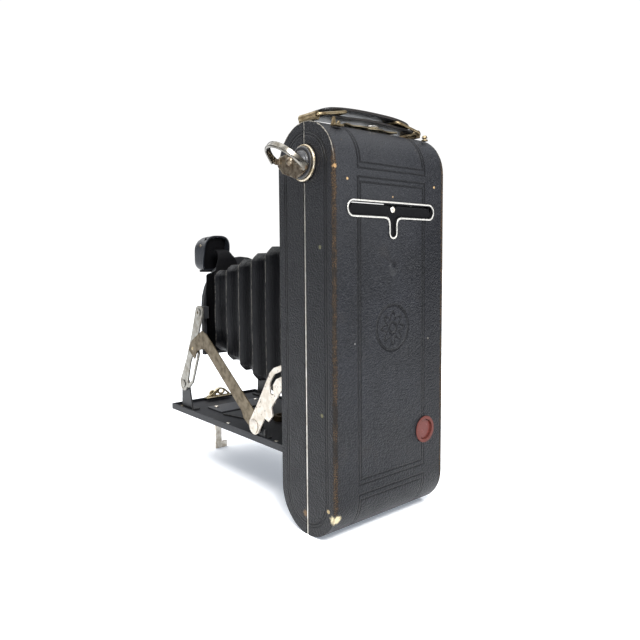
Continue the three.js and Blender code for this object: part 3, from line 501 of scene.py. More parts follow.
def slot_lip():
    """The rolled lip of the writing slot: polished along its crown, black on both sides of it."""
    s = Shader("slot_nickel")
    place = s.place()
    x, _, z = s.split(place)
    # The outline is a T: a bar with round ends, and a stem below its middle.
    bar_half, bar_z, bar_radius = 28.0, 167.0, 4.0
    stem_end, stem_radius = 155.4, 2.7
    beyond = s.larger(s.minus(s.absolute(x), bar_half), 0.0)
    above = s.minus(z, bar_z)
    bar = s.minus(s.hypotenuse(beyond, above), bar_radius)
    below = s.larger(s.minus(stem_end, z), 0.0)
    stem = s.minus(s.hypotenuse(x, below), stem_radius)
    outline = s.math("SMOOTH_MIN", bar, s.larger(stem, above), 5.6)
    crown = line(s, outline, -0.1, 0.5)
    tone = s.noise(0.8, 4, 0.6, place)
    silver = s.mix(tone, (0.62, 0.60, 0.55), (0.9, 0.88, 0.83))
    s.set("Base Color", s.mix(crown, (0.004, 0.004, 0.005), silver))
    s.set("Metallic", s.times(crown, 0.5))
    s.set("Roughness", s.blend(crown, 0.5, 0.3))
    s.raised(s.times(crown, 0.2))
    return s.material


def glass(name, tint, roughness=0.02, transmission=1.0):
    s = Shader(name)
    haze = s.noise(0.6, 3, 0.6, s.place())
    s.set("Base Color", (*tint, 1))
    s.set("Roughness", s.blend(haze, roughness, roughness + 0.06))
    s.set("Transmission Weight", transmission)
    s.set("IOR", 1.5)
    return s.material


def wood(name):
    s = Shader(name)
    place = s.place()
    x, y, z = s.split(place)
    stretched = s.node("ShaderNodeCombineXYZ")
    s.put(stretched.inputs[0], s.times(x, 0.08))
    s.put(stretched.inputs[1], y)
    s.put(stretched.inputs[2], z)
    fibre = s.noise(1.1, 5, 0.65, stretched.outputs[0])
    s.set("Base Color", s.mix(fibre, (0.05, 0.02, 0.008), (0.21, 0.10, 0.035)))
    s.set("Roughness", 0.5)
    s.raised(s.times(fibre, 0.05))
    return s.material


def make_materials():
    nickel_rust = (0.12, 0.06, 0.025)
    return {
        "shell": leatherette("leatherette_front", side_lines),
        "back": leatherette("leatherette_back", back_lines),
        "bed": simple("leatherette_bed", (0.006, 0.0062, 0.0075), (0.017, 0.0178, 0.021),
                      0.3, 0.45, 0.1, 0.0, 0.32),
        "enamel": enamel("black_enamel", (0.009, 0.009, 0.010), (0.45, 0.38, 0.28)),
        "satin": enamel("satin_black", (0.004, 0.0044, 0.0055), (0.40, 0.36, 0.30), 0.42, 0.5),
        "nickel": metal("worn_nickel", (0.80, 0.75, 0.67), (0.56, 0.49, 0.39), nickel_rust),
        "bright": metal("bright_nickel", (0.88, 0.85, 0.79), (0.68, 0.62, 0.53), nickel_rust, 0.2, 0.68),
        "key_ring": metal("key_ring_nickel", (0.62, 0.56, 0.45), (0.33, 0.27, 0.18), nickel_rust, 0.3, 0.6),
        "key_bar": metal("key_bar_nickel", (0.21, 0.198, 0.175), (0.10, 0.09, 0.072),
                         nickel_rust, 0.18, 0.7, 0.5, 0.005),
        "cream": metal("cream_nickel", (0.68, 0.635, 0.575), (0.60, 0.55, 0.475), (0.05, 0.024, 0.012),
                       0.5, 0.6, 0.5, 0.03, speck=0.42),
        "grey": metal("grey_nickel", (0.38, 0.37, 0.335), (0.29, 0.27, 0.235), (0.10, 0.07, 0.04),
                      0.45, 0.66, 0.5, 0.03),
        "trim": slot_lip(),
        "seam": metal("seam_nickel", (0.56, 0.54, 0.50), (0.40, 0.375, 0.33),
                      nickel_rust, 0.3, 0.7, 0.5, 0.004),
        "eyelet": metal("eyelet_nickel", (0.86, 0.84, 0.79), (0.6, 0.56, 0.48),
                        nickel_rust, 0.3, 0.7, 0.5, 0.004, 0.4),
        # Painted shade: the film rollers get a dark nickel colour for the dark inside of the body.
        "roller_nickel_painted_shade": metal("roller_nickel_painted_shade", (0.10, 0.095, 0.085), (0.05, 0.046, 0.04), nickel_rust, 0.35),
        "catch": metal("old_gilt_nickel", (0.72, 0.64, 0.47), (0.30, 0.24, 0.13), nickel_rust, 0.3, 0.62),
        "plate": simple("grey_enamel", (0.035, 0.036, 0.040), (0.07, 0.072, 0.08), 0.5, 0.34, 0.03),
        "finder": simple("finder_enamel", (0.0045, 0.0055, 0.0075), (0.015, 0.0175, 0.023),
                         0.25, 0.36, 0.12),
        "latch": metal("latch_gilt", (0.55, 0.47, 0.32), (0.26, 0.21, 0.13), nickel_rust, 0.3, 0.64),
        "mottled": metal("mottled_nickel", (0.40, 0.345, 0.265), (0.085, 0.062, 0.04),
                         nickel_rust, 0.26, 0.57, 0.46, 0.05),
        "bronze": metal("brown_bronze", (0.36, 0.29, 0.18), (0.17, 0.125, 0.07), (0.05, 0.03, 0.015),
                        0.38, 0.6),
        "olive": metal("olive_bronze", (0.165, 0.135, 0.092), (0.105, 0.083, 0.054), (0.07, 0.04, 0.02),
                       0.42, 0.66, 0.5, 0.03),
        "brass": metal("dark_brass", (0.13, 0.10, 0.055), (0.07, 0.05, 0.03), (0.03, 0.02, 0.01), 0.4, 0.6),
        "red": simple("red_celluloid", (0.082, 0.017, 0.014), (0.135, 0.036, 0.029),
                      0.35, 0.2, 0.02, 0.0, 0.2),
        "ring": simple("dark_red_ring", (0.075, 0.019, 0.015), (0.13, 0.038, 0.03),
                       0.6, 0.4, 0.02, 0.0, 0.15),
        "glass": glass("lens_glass", (0.96, 0.97, 1.0)),
        "ground": glass("ground_glass", (0.85, 0.88, 0.9), 0.35, 0.6),
        "wood": wood("spool_wood"),
        "bellows": bellows_cloth(),
        "strap": strap_leather(),
        "finder_neck": simple("neck_enamel", (0.0012, 0.0012, 0.0015), (0.0035, 0.0035, 0.0042),
                              0.4, 0.6, 0.05, 0.0, 0.1),
        "recess": simple("recess_black", (0.002, 0.002, 0.0025), (0.0055, 0.0055, 0.0065),
                         0.8, 0.6, 0.05, 0.0, 0.12),
    }


# ---- CAD nodes that stay: each gets a material, and its edges are softened by modifiers. ----
WELD_DISTANCE = 2e-6
BEVEL_SEGMENTS = 2
BEVEL_ANGLE = math.radians(38)


def dress(node, material, bevel):
    """A CAD node with welded, softened edges and one material."""
    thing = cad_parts[node]
    for kept in list(thing.data.attributes):
        if kept.name == "custom_normal":
            thing.data.attributes.remove(kept)
    for polygon in thing.data.polygons:
        polygon.use_smooth = True
    weld = thing.modifiers.new("weld", "WELD")
    weld.merge_threshold = WELD_DISTANCE
    if bevel:
        soften = thing.modifiers.new("soften", "BEVEL")
        soften.width = bevel * MM
        soften.segments = BEVEL_SEGMENTS
        soften.limit_method = "ANGLE"
        soften.angle_limit = BEVEL_ANGLE
        soften.harden_normals = True
        soften.use_clamp_overlap = True
    if not thing.data.materials:
        thing.data.materials.append(material)
    for holder in thing.material_slots:
        holder.link = "OBJECT"
        holder.material = material


def dress_nodes(m):
    looks = {
        "shell": [("body_shell", 0.5)],
        "back": [("back_cover", 0.5)],
        "bed": [("bed", 0.3)],
        "nickel": [
            ("spool_pin_upper", 0.1), ("spool_pin_lower_right", 0.1), ("spool_pin_lower_left", 0.1),
            ("bed_hinge_pin", 0), ("bed_foot", 0.15), ("foot_pin", 0), ("shutter_release", 0.1),
            ("aperture_lever", 0.1), ("speed_dial", 0.1),
        ],
        "latch": [("latch_plate", 0.2)],
        "key_ring": [("key_base_ring", 0.25)],
        "plate": [("bed_cross_plate", 0.2)],
        "bright": [("latch_button", 0.3)],
        "trim": [("slot_trim", 0.12)],
        "seam": [("seam_trim", 0.1)],
        "eyelet": [("slot_eyelet", 0.08)],
        "roller_nickel_painted_shade": [("film_roller_upper", 0), ("film_roller_lower", 0)],
        "cream": [("brace_right", 0.15), ("brace_left", 0.15)],
        "grey": [("front_arm_right", 0.2), ("front_arm_left", 0.2)],
        "mottled": [("key_plate", 0.3), ("key_rivet", 0.1)],
        "bronze": [
            ("latch_claw", 0.25), ("latch_knob", 0.2), ("strap_lug_right", 0.3), ("strap_lug_left", 0.3),
        ],
        "olive": [("strut_right", 0.15), ("strut_left", 0.15)],
        "brass": [("tripod_bush", 0.2)],
        "enamel": [("key_hub", 0.25), ("shutter_housing", 0.25), ("lens_barrel", 0.2)],
        "satin": [
            ("bed_track", 0.15), ("side_lug_right", 0.3), ("side_lug_left", 0.3),
            ("front_bracket_right", 0.25), ("front_bracket_left", 0.25),
            ("lens_board", 0.3), ("film_gate", 0.2),
        ],
        # Painted shade: the door pin is made black, as the shade inside the slot.
        "recess": [("slot_door", 0.1), ("slot_door_pin", 0)],
        "red": [("red_window", 0.2)],
        "ring": [("window_ring", 0.2)],
        "glass": [("lens_glass", 0)],
        "ground": [("finder_glass", 0)],
        "wood": [("supply_spool", 0.2), ("takeup_spool", 0.2)],
    }
    for look, nodes in looks.items():
        for node, bevel in nodes:
            dress(node, m[look], bevel)


# ---- Mesh building ----
def mesh_piece(name, points, faces, material, body, angle=40, values=None):
    """A piece from points in body millimetres. values, if given, is one number a point, kept as "tone"."""
    mesh = bpy.data.meshes.new(name)
    mesh.from_pydata([P(*point) for point in points], [], faces)
    mesh.validate()
    work = bmesh.new()
    work.from_mesh(mesh)
    bmesh.ops.recalc_face_normals(work, faces=work.faces)
    work.to_mesh(mesh)
    work.free()
    mesh.shade_smooth()
    mesh.set_sharp_from_angle(angle=math.radians(angle))
    if values:
        mesh.attributes.new("tone", "FLOAT", "POINT").data.foreach_set("value", values)
    mesh.materials.append(material)
    piece = bpy.data.objects.new(name, mesh)
    bpy.context.collection.objects.link(piece)
    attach(piece, body)
    return piece


def rings_to_faces(count, sides, closed_path=False, caps=True):
    """Faces between rings of points laid end to end."""
    faces = []
    last = count if closed_path else count - 1
    for ring in range(last):
        a, b = ring * sides, ((ring + 1) % count) * sides
        for k in range(sides):
            n = (k + 1) % sides
            faces.append((a + k, a + n, b + n, b + k))
    if caps and not closed_path:
        faces.append(tuple(reversed(range(sides))))
        faces.append(tuple(range((count - 1) * sides, count * sides)))
    return faces


def swept(path, section, side_axis, closed=False):
    """Points and faces of a section carried along a path. section(t) gives (across, out) pairs, where across
    is along side_axis and out is square to it and to the path."""
    count = len(path)
    points, sides = [], 0
    side_axis = Vector(side_axis).normalized()
    for i, at in enumerate(path):
        before = path[(i - 1) % count] if closed or i else path[0]
        after = path[(i + 1) % count] if closed or i + 1 < count else path[-1]
        along = (Vector(after) - Vector(before)).normalized()
        out = side_axis.cross(along).normalized()
        across = along.cross(out).normalized()
        ring = section(i / (count - (0 if closed else 1)))
        sides = len(ring)
        points += [Vector(at) + across * u + out * v for u, v in ring]
    return points, rings_to_faces(count, sides, closed)


def circle(radius, sides):
    return [(radius * math.cos(a), radius * math.sin(a)) for a in
            (2 * math.pi * k / sides for k in range(sides))]


def rounded_section(half_width, half_thick, radius, steps=3):
    """A flat bar's section with round edges, crowned a little."""
    ring = []
    for sx, sz, start in ((1, 1, 0), (-1, 1, 90), (-1, -1, 180), (1, -1, 270)):
        for k in range(steps + 1):
            a = math.radians(start + 90 * k / steps)
            ring.append((
                sx * (half_width - radius) + radius * math.cos(a),
                sz * (half_thick - radius) + radius * math.sin(a),
            ))
    return ring


def turned(name, profile, centre, axis, material, body, sides=28):
    """A turned piece: (radius, height) pairs from the axis at the foot to the axis at the tip."""
    axis = Vector(axis).normalized()
    helper = Vector((0, 0, 1)) if abs(axis.z) < 0.9 else Vector((1, 0, 0))
    u = axis.cross(helper).normalized()
    v = axis.cross(u)
    points = []
    for radius, height in profile:
        for k in range(sides):
            a = 2 * math.pi * k / sides
            points.append(Vector(centre) + axis * height + (u * math.cos(a) + v * math.sin(a)) * radius)
    return mesh_piece(name, points, rings_to_faces(len(profile), sides), material, body)


def dome(radius, height, steps=5):
    """A round rivet head that starts a little below its seat."""
    profile = [(radius, -0.15), (radius, 0.0)]
    for k in range(1, steps + 1):
        a = math.pi / 2 * k / (steps + 0.4)
        profile.append((radius * math.cos(a), height * math.sin(a)))
    return profile


def smooth_path(points, steps):
    """A Catmull-Rom line through the points, ends included."""
    vectors = [Vector(p) for p in points]
    full = [2 * vectors[0] - vectors[1], *vectors, 2 * vectors[-1] - vectors[-2]]
    path = []
    for i in range(1, len(full) - 2):
        a, b, c, d = full[i - 1:i + 3]
        for k in range(steps):
            t = k / steps
            path.append(0.5 * (2 * b + (c - a) * t + (2 * a - 5 * b + 4 * c - d) * t * t
                               + (3 * b - a - 3 * c + d) * t ** 3))
    path.append(vectors[-1])
    return path


# ---- Bellows ----
BELLOWS = {
    "front": {"y": -142.6, "half_x": 28.0, "half_z": 23.5, "z": 109.5},
    "back": {"y": -10.5, "half_x": 32.8, "half_z": 59.0, "z": 105.4},
    "frame_end": -131.0,
    "pleats": 8,
    "depth": 4.8,
}


def bellows_stations():
    """(y, how far in, ridge) along the bellows. ridge is -1 on the plain band in front, then 0 to 1."""
    front, back, start = BELLOWS["front"]["y"], BELLOWS["back"]["y"], BELLOWS["frame_end"]
    band = -1.0
    stations = [(front, 0.3, band), (front + 0.6, -0.3, band), (front + 6, -0.1, band),
                (start - 1.2, 0.0, band), (start - 0.4, 0.6, 0.0)]
    pitch = (back - start) / BELLOWS["pleats"]
    # From ridge through valley to the next ridge: the fold is crisp outside and softer inside.
    shape = [(0.0, 0.0), (0.03, 0.12), (0.14, 0.42), (0.28, 0.74), (0.41, 0.95), (0.5, 1.0),
             (0.59, 0.95), (0.72, 0.74), (0.86, 0.42), (0.97, 0.12)]
    for pleat in range(BELLOWS["pleats"]):
        lean = 0.35 * math.sin(2.4 * pleat + 0.6)
        for share, depth in shape:
            y = start + pitch * (pleat + share) + lean * math.sin(math.pi * share)
            deep = BELLOWS["depth"] * (0.42 + 0.58 * pleat / (BELLOWS["pleats"] - 1))
            stations.append((y, depth * deep, 1.0 if depth == 0 else 0.5 * (1 - depth)))
    stations.append((back, 0.0, 1.0))
    return stations


def bellows_ring(y, inward, depth_share):
    """Outline of the tunnel at y, in x and z. Corners are cut wide on ridges and tight in valleys."""
    front, back = BELLOWS["front"], BELLOWS["back"]
    t = (y - front["y"]) / (back["y"] - front["y"])
    half_x = front["half_x"] + t * (back["half_x"] - front["half_x"]) - inward
    half_z = front["half_z"] + t * (back["half_z"] - front["half_z"]) - inward
    middle = front["z"] + t * (back["z"] - front["z"])
    cut = 1.3 if y < BELLOWS["frame_end"] - 1 else 2.0 + (1 - depth_share) * (1.6 + 3.0 * t)
    along_side = 12
    corners = [
        (half_x, half_z - cut), (half_x, cut - half_z), (half_x - cut, -half_z), (cut - half_x, -half_z),
        (-half_x, cut - half_z), (-half_x, half_z - cut), (cut - half_x, half_z), (half_x - cut, half_z),
    ]
    ring = []
    for (x0, z0), (x1, z1) in zip(corners, corners[1:] + corners[:1]):
        nx, nz = (z1 - z0), -(x1 - x0)
        length = math.hypot(nx, nz)
        for k in range(along_side):
            share = k / along_side
            bow = -0.7 * math.sin(math.pi * share) * (0.4 + 0.6 * depth_share)
            x, z = x0 + (x1 - x0) * share, z0 + (z1 - z0) * share
            ring.append((x + nx / length * bow, z + nz / length * bow))
    return [(x, z + middle) for x, z in ring]


def make_bellows(material):
    stations = bellows_stations()
    rings, tones, sides = [], [], 0
    for skin in (0.0, 0.7):
        for y, inward, ridge in stations:
            ring = bellows_ring(y, inward + skin, min(1.0, inward / BELLOWS["depth"]))
            sides = len(ring)
            for x, z in ring:
                ripple = noise.noise(Vector((x * 0.09, y * 0.13, z * 0.05))) * 0.5
                # The ripple dies out at both ends, where the cloth is glued to its frames.
                ripple *= min(1.0, (y - BELLOWS["front"]["y"]) / 8, (BELLOWS["back"]["y"] - y) / 8)
                along = Vector((x, 0, z - MIDDLE_Z)).normalized()
                rings.append((x - along.x * abs(ripple), y + ripple * 0.8, z - along.z * abs(ripple)))
                tones.append(ridge)
    count = len(stations)
    outer = rings_to_faces(count, sides, caps=False)
    inner = [tuple(reversed([i + count * sides for i in face])) for face in outer]
    rims = []
    for base in (0, (count - 1) * sides):
        for k in range(sides):
            n = (k + 1) % sides
            rims.append((base + k, base + n, base + n + count * sides, base + k + count * sides))
    faces = outer + inner + rims
    piece = mesh_piece("bellows_cloth", rings, faces, material, "root", 50, tones)
    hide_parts("bellows")
    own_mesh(piece)
    return piece


def bellows_cloth():
    """Thin black leathercloth: its fold edges carry a painted highlight, its valleys and the band behind the
    standard painted shade, and the panels show faint creases.
    """
    s = Shader("bellows_cloth")
    place = s.place()
    ridge = s.node("ShaderNodeAttribute", attribute_name="tone").outputs["Fac"]
    tone = s.noise(0.07, 4, 0.6, place)
    colour = s.mix(tone, (0.0014, 0.0015, 0.002), (0.004, 0.0043, 0.0056))
    # Painted shade: the valleys are darkened.
    deep = s.steps(ridge, 0.02, 0.42, 1.0, 0.0)
    colour = s.mix(s.times(deep, 0.6), colour, (0.0012, 0.0012, 0.0015))
    # Painted highlight: the fold edges are made paler in patches.
    pale_edge = s.times(s.steps(ridge, 0.55, 0.95), s.steps(s.noise(0.35, 5, 0.7, place), 0.38, 0.62))
    colour = s.mix(pale_edge, colour, (0.12, 0.113, 0.10))
    # Painted shade: the flat band glued behind the standard is darkened to near black.
    band = s.steps(ridge, -1.0, -0.3, 1.0, 0.0)
    colour = s.mix(band, colour, (0.0006, 0.0006, 0.0008))
    s.set("Base Color", colour)
    s.set("Roughness", s.blend(band, s.blend(pale_edge, 0.36, 0.6), 0.95))
    s.set("Specular IOR Level", s.blend(s.larger(band, s.times(deep, 0.8)), 0.2, 0.02))
    # Faint creases run along each pleat.
    x, y, z = s.split(place)
    drawn = s.node("ShaderNodeCombineXYZ")
    s.put(drawn.inputs[0], s.times(x, 0.1))
    s.put(drawn.inputs[1], y)
    s.put(drawn.inputs[2], s.times(z, 0.06))
    creases = s.times(s.noise(0.55, 4, 0.6, drawn.outputs[0]), 0.9)
    grain = s.times(s.cells(1.3, vector=place), 0.08)
    s.raised(s.plus(grain, creases))
    return s.material


# ---- Carrying strap and its wire loops ----
STRAP_Y = -21.5
STRAP_HALF = 6.2


def strap_leather():
    """Black strap leather: glossy where handled, cracked across the bends, brown on the cut edges."""
    s = Shader("strap_leather")
    place = s.place()
    x, y, z = s.split(place)
    tone = s.noise(0.2, 4, 0.6, place)
    colour = s.mix(tone, (0.0022, 0.0022, 0.0025), (0.0065, 0.0066, 0.0075))
    from_middle = s.absolute(s.minus(y, STRAP_Y))
    ragged = s.plus(from_middle, s.times(s.noise(1.2, 4, 0.7, place), 1.0))
    pale_edge = s.steps(ragged, STRAP_HALF + 0.25, STRAP_HALF + 0.65)
    colour = s.mix(s.times(pale_edge, 0.5), colour, (0.03, 0.022, 0.016))
    squeezed = s.node("ShaderNodeCombineXYZ")
    s.put(squeezed.inputs[0], x)
    s.put(squeezed.inputs[1], s.times(y, 0.18))
    s.put(squeezed.inputs[2], z)
    cracks = s.steps(s.noise(0.9, 5, 0.7, squeezed.outputs[0]), 0.56, 0.66)
    # A tooled line runs along each edge of the strap.
    tooled = line(s, from_middle, 4.9, 0.35)
    s.set("Base Color", colour)
    s.set("Roughness", s.blend(tone, 0.28, 0.5))
    s.set("Specular IOR Level", 0.4)
    grain = s.times(s.cells(1.6, vector=place), 0.04)
    height = s.minus(grain, s.times(cracks, 0.08))
    s.raised(s.minus(height, s.times(tooled, 0.18)))
    return s.material


def strap_layer(name, line_points, thickness, tip, material):
    """One leather layer along a line in x and z. tip is how far from each end its round tips start."""
    path = smooth_path([(x, STRAP_Y, z) for x, z in line_points], 8)
    reach = [0.0]
    for a, b in zip(path, path[1:]):
        reach.append(reach[-1] + (b - a).length)

    def section(t):
        index = round(t * (len(path) - 1))
        from_end = min(reach[index], reach[-1] - reach[index])
        half = STRAP_HALF
        if tip and from_end < tip:
            half = STRAP_HALF * math.sqrt(max(0.02, 1 - (1 - from_end / tip) ** 2))
        crown = 0.12 * math.sin(7 * t) + 0.1
        ring = rounded_section(half, thickness / 2, min(thickness * 0.42, half * 0.6), 3)
        return [(u, v - crown * (u / STRAP_HALF) ** 2) for u, v in ring]

    points, faces = swept(path, section, (0, 1, 0))
    return mesh_piece(name, points, faces, material, "strap", 50)


def make_strap(m):
    upper = [(33, 215.3), (31, 216.3), (26, 217.3), (18, 218.1), (8, 218.5), (-4, 218.5), (-16, 218.2),
             (-25, 217.3), (-31, 215.7), (-33, 214.6)]
    lower = [(33.2, 213.2), (27, 213.6), (18, 213.9), (8, 214.4), (0, 214.6), (-8, 214.4), (-18, 213.9),
             (-27, 213.6), (-33.2, 213.2)]
    top = strap_layer("strap_upper", upper, 1.7, 6.0, m["strap"])
    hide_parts("carry_strap")
    strap_layer("strap_lower", lower, 1.4, 0, m["strap"])


def make_strap_loops(m):
    for side, name in ((1, "right"), (-1, "left")):
        half, inner, outer, corner = 7.6, 18.8, 37.4, 1.7
        low, rise = 212.6, 3.65
        outline = []
        for cx, cy, start in ((outer - corner, half - corner, 0), (inner + corner, half - corner, 90),
                              (inner + corner, corner - half, 180), (outer - corner, corner - half, 270)):
            for k in range(5):
                a = math.radians(start + 90 * k / 4)
                outline.append((cx + corner * math.cos(a), cy + corner * math.sin(a)))
        path = []
        for i, (x, y) in enumerate(outline):
            nx, ny = outline[(i + 1) % len(outline)]
            steps = 6 if math.hypot(nx - x, ny - y) > 3 else 1
            for k in range(steps):
                px, py = x + (nx - x) * k / steps, y + (ny - y) * k / steps
                slope = (outer - px) / (outer - inner)
                path.append((side * px, STRAP_Y + py, low + rise * slope))
        ring = circle(0.8, 12)
        points, faces = swept(path, lambda t: ring, (0, 0, 1), closed=True)
        loop = mesh_piece("wire_loop_" + name, points, faces, m["bronze"], "loop_" + name, 60)
        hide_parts("strap_loop_" + name)


# ---- Rivets, screws and pivot pins ----
def make_rivets(m):
    """Each row is one rivet or washer: name, profile, place on the right, axis, look, body, slot, sides."""
    for side, name in ((1, "right"), (-1, "left")):
        out, up = (side, 0, 0), (0, 0, 1)
        big = [(4.1, -0.1), (4.1, 0.35), (3.6, 0.62), (2.4, 0.78), (0.4, 0.82)]
        rows = [
            ("brace_rivet_{}", big, (37.5, -74.7, 45.7), out, "cream", "braces", "nickel", 36),
            ("arm_foot_washer_{}", dome(2.6, 0.12), (34.95, -166.3, 56.5), out, "grey", "arms", "nickel", 28),
            ("arm_top_washer_{}", dome(2.5, 0.1), (34.95, -142.7, 107.8), out, "grey", "arms", "nickel", 28),
            ("arm_top_rivet_{}", dome(0.9, 0.3), (35.02, -142.7, 107.8), out, "brass", "arms", "bronze", 16),
            ("strut_rivet_{}", dome(1.2, 0.35), (35.9, -149.6, 83.2), out, "bronze", "struts", "bronze", 28),
            ("bed_rivet_{}_114", dome(1.3, 0.45), (30.6, -114, 38.2), up, "bright", "bed", "nickel", 28),
            ("bed_rivet_{}_62", dome(1.3, 0.45), (30.6, -62, 38.2), up, "bright", "bed", "nickel", 28),
            ("plate_rivet_{}", dome(1.5, 0.5), (16.6, -152, 39.95), up, "bright", "bed", "nickel", 28),
            ("foot_rivet_{}", dome(1.0, 0.4), (33.8, -170.6, 39.7), up, "olive", "bed", "bronze", 28),
        ]
        for title, profile, (x, y, z), axis, look, body, slot, sides in rows:
            turned(title.format(name), profile, (side * x, y, z), axis, m[look], body, sides)


# ---- Finder: a hooded shell, open to the rear, on a curved neck ----
FINDER = {"x": 13.7, "z": 147.0, "half_x": 10.2, "half_z": 12.3, "front": -166.0, "back": -149.6}
FINDER_SIDES = 56


def finder_ring(scale_x, scale_z, y, roof=2.9, floor=6.0, lift=0.0, slant=0.0):
    """The hood's outline at y: a crowned roof over a nearly square lower half. slant cuts its foot back."""
    ring = []
    for k in range(FINDER_SIDES):
        a = 2 * math.pi * k / FINDER_SIDES
        c, v = math.cos(a), math.sin(a)
        power = 2 / (roof if v > 0 else floor)
        x = math.copysign(abs(c) ** power, c) * FINDER["half_x"] * scale_x
        z = math.copysign(abs(v) ** power, v) * FINDER["half_z"] * scale_z
        cut_back = slant * (0.5 - 0.5 * z / FINDER["half_z"])
        ring.append((FINDER["x"] + x, y - cut_back, FINDER["z"] + lift + z))
    return ring


def make_finder(m):
    front, back = FINDER["front"], FINDER["back"]
    stations = [
        (1.0, 1.0, back, 5.5), (1.0, 1.0, back - 2.2, 5.0), (0.97, 0.975, back - 2.7, 5.0),
        (0.98, 0.97, front + 7.5, 0.5), (0.985, 0.945, front + 4.0, 0), (0.98, 0.88, front + 1.6, 0),
        (0.965, 0.79, front + 0.3, 0), (0.91, 0.73, front - 0.1, 0),
    ]
    rings = [finder_ring(sx, sz, y, slant=slant) for sx, sz, y, slant in stations]
    rings.append(finder_ring(0.62, 0.54, front + 0.05, roof=7, lift=2.1))
    rings.append(finder_ring(0.60, 0.52, front + 1.0, roof=7, lift=2.1))
    rings.append(finder_ring(0.82, 0.74, front + 1.3))
    rings.append(finder_ring(0.88, 0.87, front + 3.6))
    rings.append(finder_ring(0.90, 0.91, back - 1.2, slant=5.0))
    rings.append(finder_ring(0.92, 0.93, back, slant=5.5))
    points = [point for ring in rings for point in ring]
    faces = rings_to_faces(len(rings), FINDER_SIDES, closed_path=True)
    hood = mesh_piece("finder_hood", points, faces, m["finder"], "finder", 34)
    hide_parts("finder_body")
    screw = (23.25, -157.9, 152.4)
    turned("finder_screw", dome(0.95, 0.45), screw, (1, 0, 0), m["mottled"], "finder", 20)
    # A slanting mirror inside, black on its back, closes the hood from behind.
    low, high, half = FINDER["z"] - 10.6, FINDER["z"] + 10.4, 8.3
    plate = [(FINDER["x"] + sx * half, y, z) for z, y in ((low, front + 3.2), (high, back - 4.0))
             for sx in (-1, 1)]
    plate += [(x, y + 0.5, z) for x, y, z in plate]
    sides = [(0, 1, 3, 2), (4, 6, 7, 5), (0, 4, 5, 1), (2, 3, 7, 6), (0, 2, 6, 4), (1, 5, 7, 3)]
    mesh_piece("finder_mirror", plate, sides, m["recess"], "finder", 30)
    # The foot plate under the hood.
    foot = [(FINDER["x"] + 9.0 - 1.1 * k, back - 5.0 - 0.2 * k, FINDER["z"] - 11.9) for k in range(9)]
    points, faces = swept(foot, lambda t: rounded_section(4.6, 0.7, 0.4), (0, 1, 0))
    mesh_piece("finder_foot", points, faces, m["finder_neck"], "finder", 40)
    # The neck rises behind the lens board, narrows and turns forward into the hood.
    path = smooth_path([(11.6, -142.55, 134.6), (12.0, -142.55, 140.0), (12.9, -142.6, 144.6),
                        (13.5, -144.6, 148.2), (13.7, -149.0, 149.4), (13.7, -153.5, 149.0)], 6)
    widths = [8.6, 8.2, 6.0, 4.6, 4.2, 3.6]

    def section(t):
        at = t * (len(widths) - 1)
        low = min(int(at), len(widths) - 2)
        half = widths[low] + (widths[low + 1] - widths[low]) * (at - low)
        return rounded_section(half, 0.4, 0.3)

    points, faces = swept(path, section, (1, 0, 0))
    neck = mesh_piece("finder_neck", points, faces, m["finder_neck"], "standard", 40)
    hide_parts("finder_bracket")


# ---- Winding key's bail and hub disc ----
KEY_AXIS = (50.6, -20.8, 188.2)
KEY_TILT = -0.23
BAIL_LEAN = 0.663


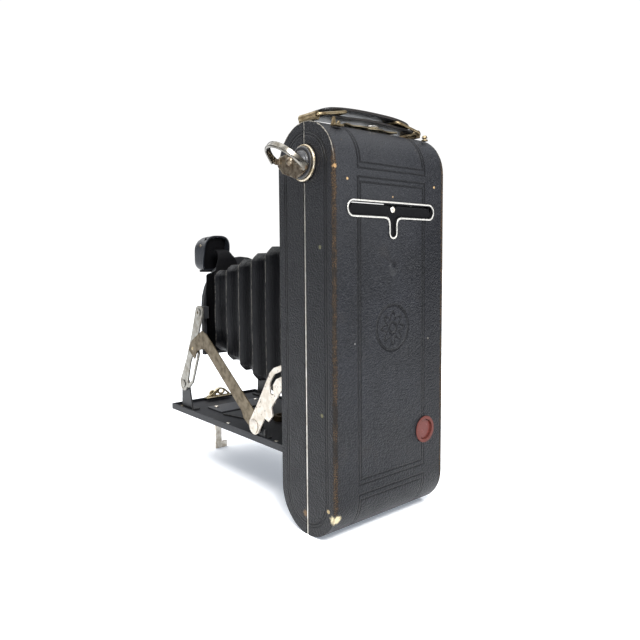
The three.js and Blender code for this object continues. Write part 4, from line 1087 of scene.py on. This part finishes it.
def make_key(m):
    """A D of half-round bar on two flattened eyes, swung forward of the plate."""
    half_chord, reach, eye_out = 12.9, 13.2, 13.2
    lean = Matrix.Rotation(KEY_TILT, 3, "X") @ Matrix.Rotation(-BAIL_LEAN, 3, "Y")
    path = []
    for k in range(33):
        a = math.pi * (k / 32 - 0.5)
        path.append(Vector(KEY_AXIS) + lean @ Vector((reach * math.cos(a), half_chord * math.sin(a), 0)))
    normal = lean @ Vector((0, 0, 1))

    def section(t):
        eye = max(0.0, 1 - min(t, 1 - t) / 0.07)
        return rounded_section(1.6 + 0.5 * eye, 0.85 - 0.25 * eye, 0.58, 4)

    points, faces = swept(path, section, normal)
    bail = mesh_piece("key_bail_bar", points, faces, m["key_bar"], "key_bail", 60)
    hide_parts("key_bail")
    across = lean @ Vector((0, 1, 0))
    for side, name in ((1, "rear"), (-1, "front")):
        at = Vector(KEY_AXIS) + across * side * eye_out
        turned("key_pivot_" + name, dome(1.25, 0.5), at, across * side, m["mottled"], "key_bail",
               20)
    rim = [(3.2, 42.5), (7.2, 42.5), (7.9, 42.6), (8.0, 42.9), (7.7, 43.3), (6.9, 43.5), (6.2, 43.2),
           (5.0, 44.4), (4.6, 46.6), (3.2, 46.8)]
    turned("key_hub_disc", rim, (0, -21.5, 189.7), (1, 0, 0), m["enamel"], "winding_key", 48)


# ---- Bed catch: a curled spring strip ----
def make_catch(m):
    y = -176.6
    foot = smooth_path([(11.2, y, 40.5), (5.0, y, 40.7), (-3.0, y, 40.6), (-9.8, y, 40.5)], 4)

    def tapered(t):
        return rounded_section(3.2 - 1.2 * abs(2 * t - 1) ** 3, 0.45, 0.35)

    points, faces = swept(foot, tapered, (0, 1, 0))
    base = mesh_piece("catch_foot", points, faces, m["catch"], "bed_catch", 50)
    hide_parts("bed_catch")
    ahead = y - 1.2
    arch = smooth_path([(9.2, ahead, 41.0), (6.2, ahead, 42.0), (3.0, ahead, 44.4), (-0.6, ahead, 46.0),
                        (-4.2, ahead, 45.4), (-7.4, ahead, 43.0), (-9.4, ahead, 41.0)], 5)
    points, faces = swept(arch, lambda t: rounded_section(1.4, 0.62, 0.5), (0, 1, 0))
    mesh_piece("catch_arch", points, faces, m["catch"], "bed_catch", 50)
    scrolls = (("scroll_right", 4.3, 42.9, 1.9, 0.5), ("scroll_left", -2.6, 43.6, 2.3, -0.4))
    for name, cx, cz, radius, lean in scrolls:
        curl = []
        for k in range(25):
            a = 2 * math.pi * 1.15 * k / 24 + lean
            r = radius * (1 - 0.35 * k / 24)
            x, z = cx + 1.35 * r * math.cos(a), cz + r * math.sin(a)
            curl.append((x, y - 2.2 + 0.4 * math.sin(a * 0.5), z))
        points, faces = swept(curl, lambda t: rounded_section(1.2, 0.62, 0.5), (0, 1, 0))
        mesh_piece("catch_" + name, points, faces, m["catch"], "bed_catch", 50)


def main():
    make_camera()
    make_sky()
    make_lights()
    make_floor()
    m = make_materials()
    dress_nodes(m)
    make_bellows(m["bellows"])
    make_strap(m)
    make_strap_loops(m)
    make_rivets(m)
    make_finder(m)
    make_key(m)
    make_catch(m)


main()
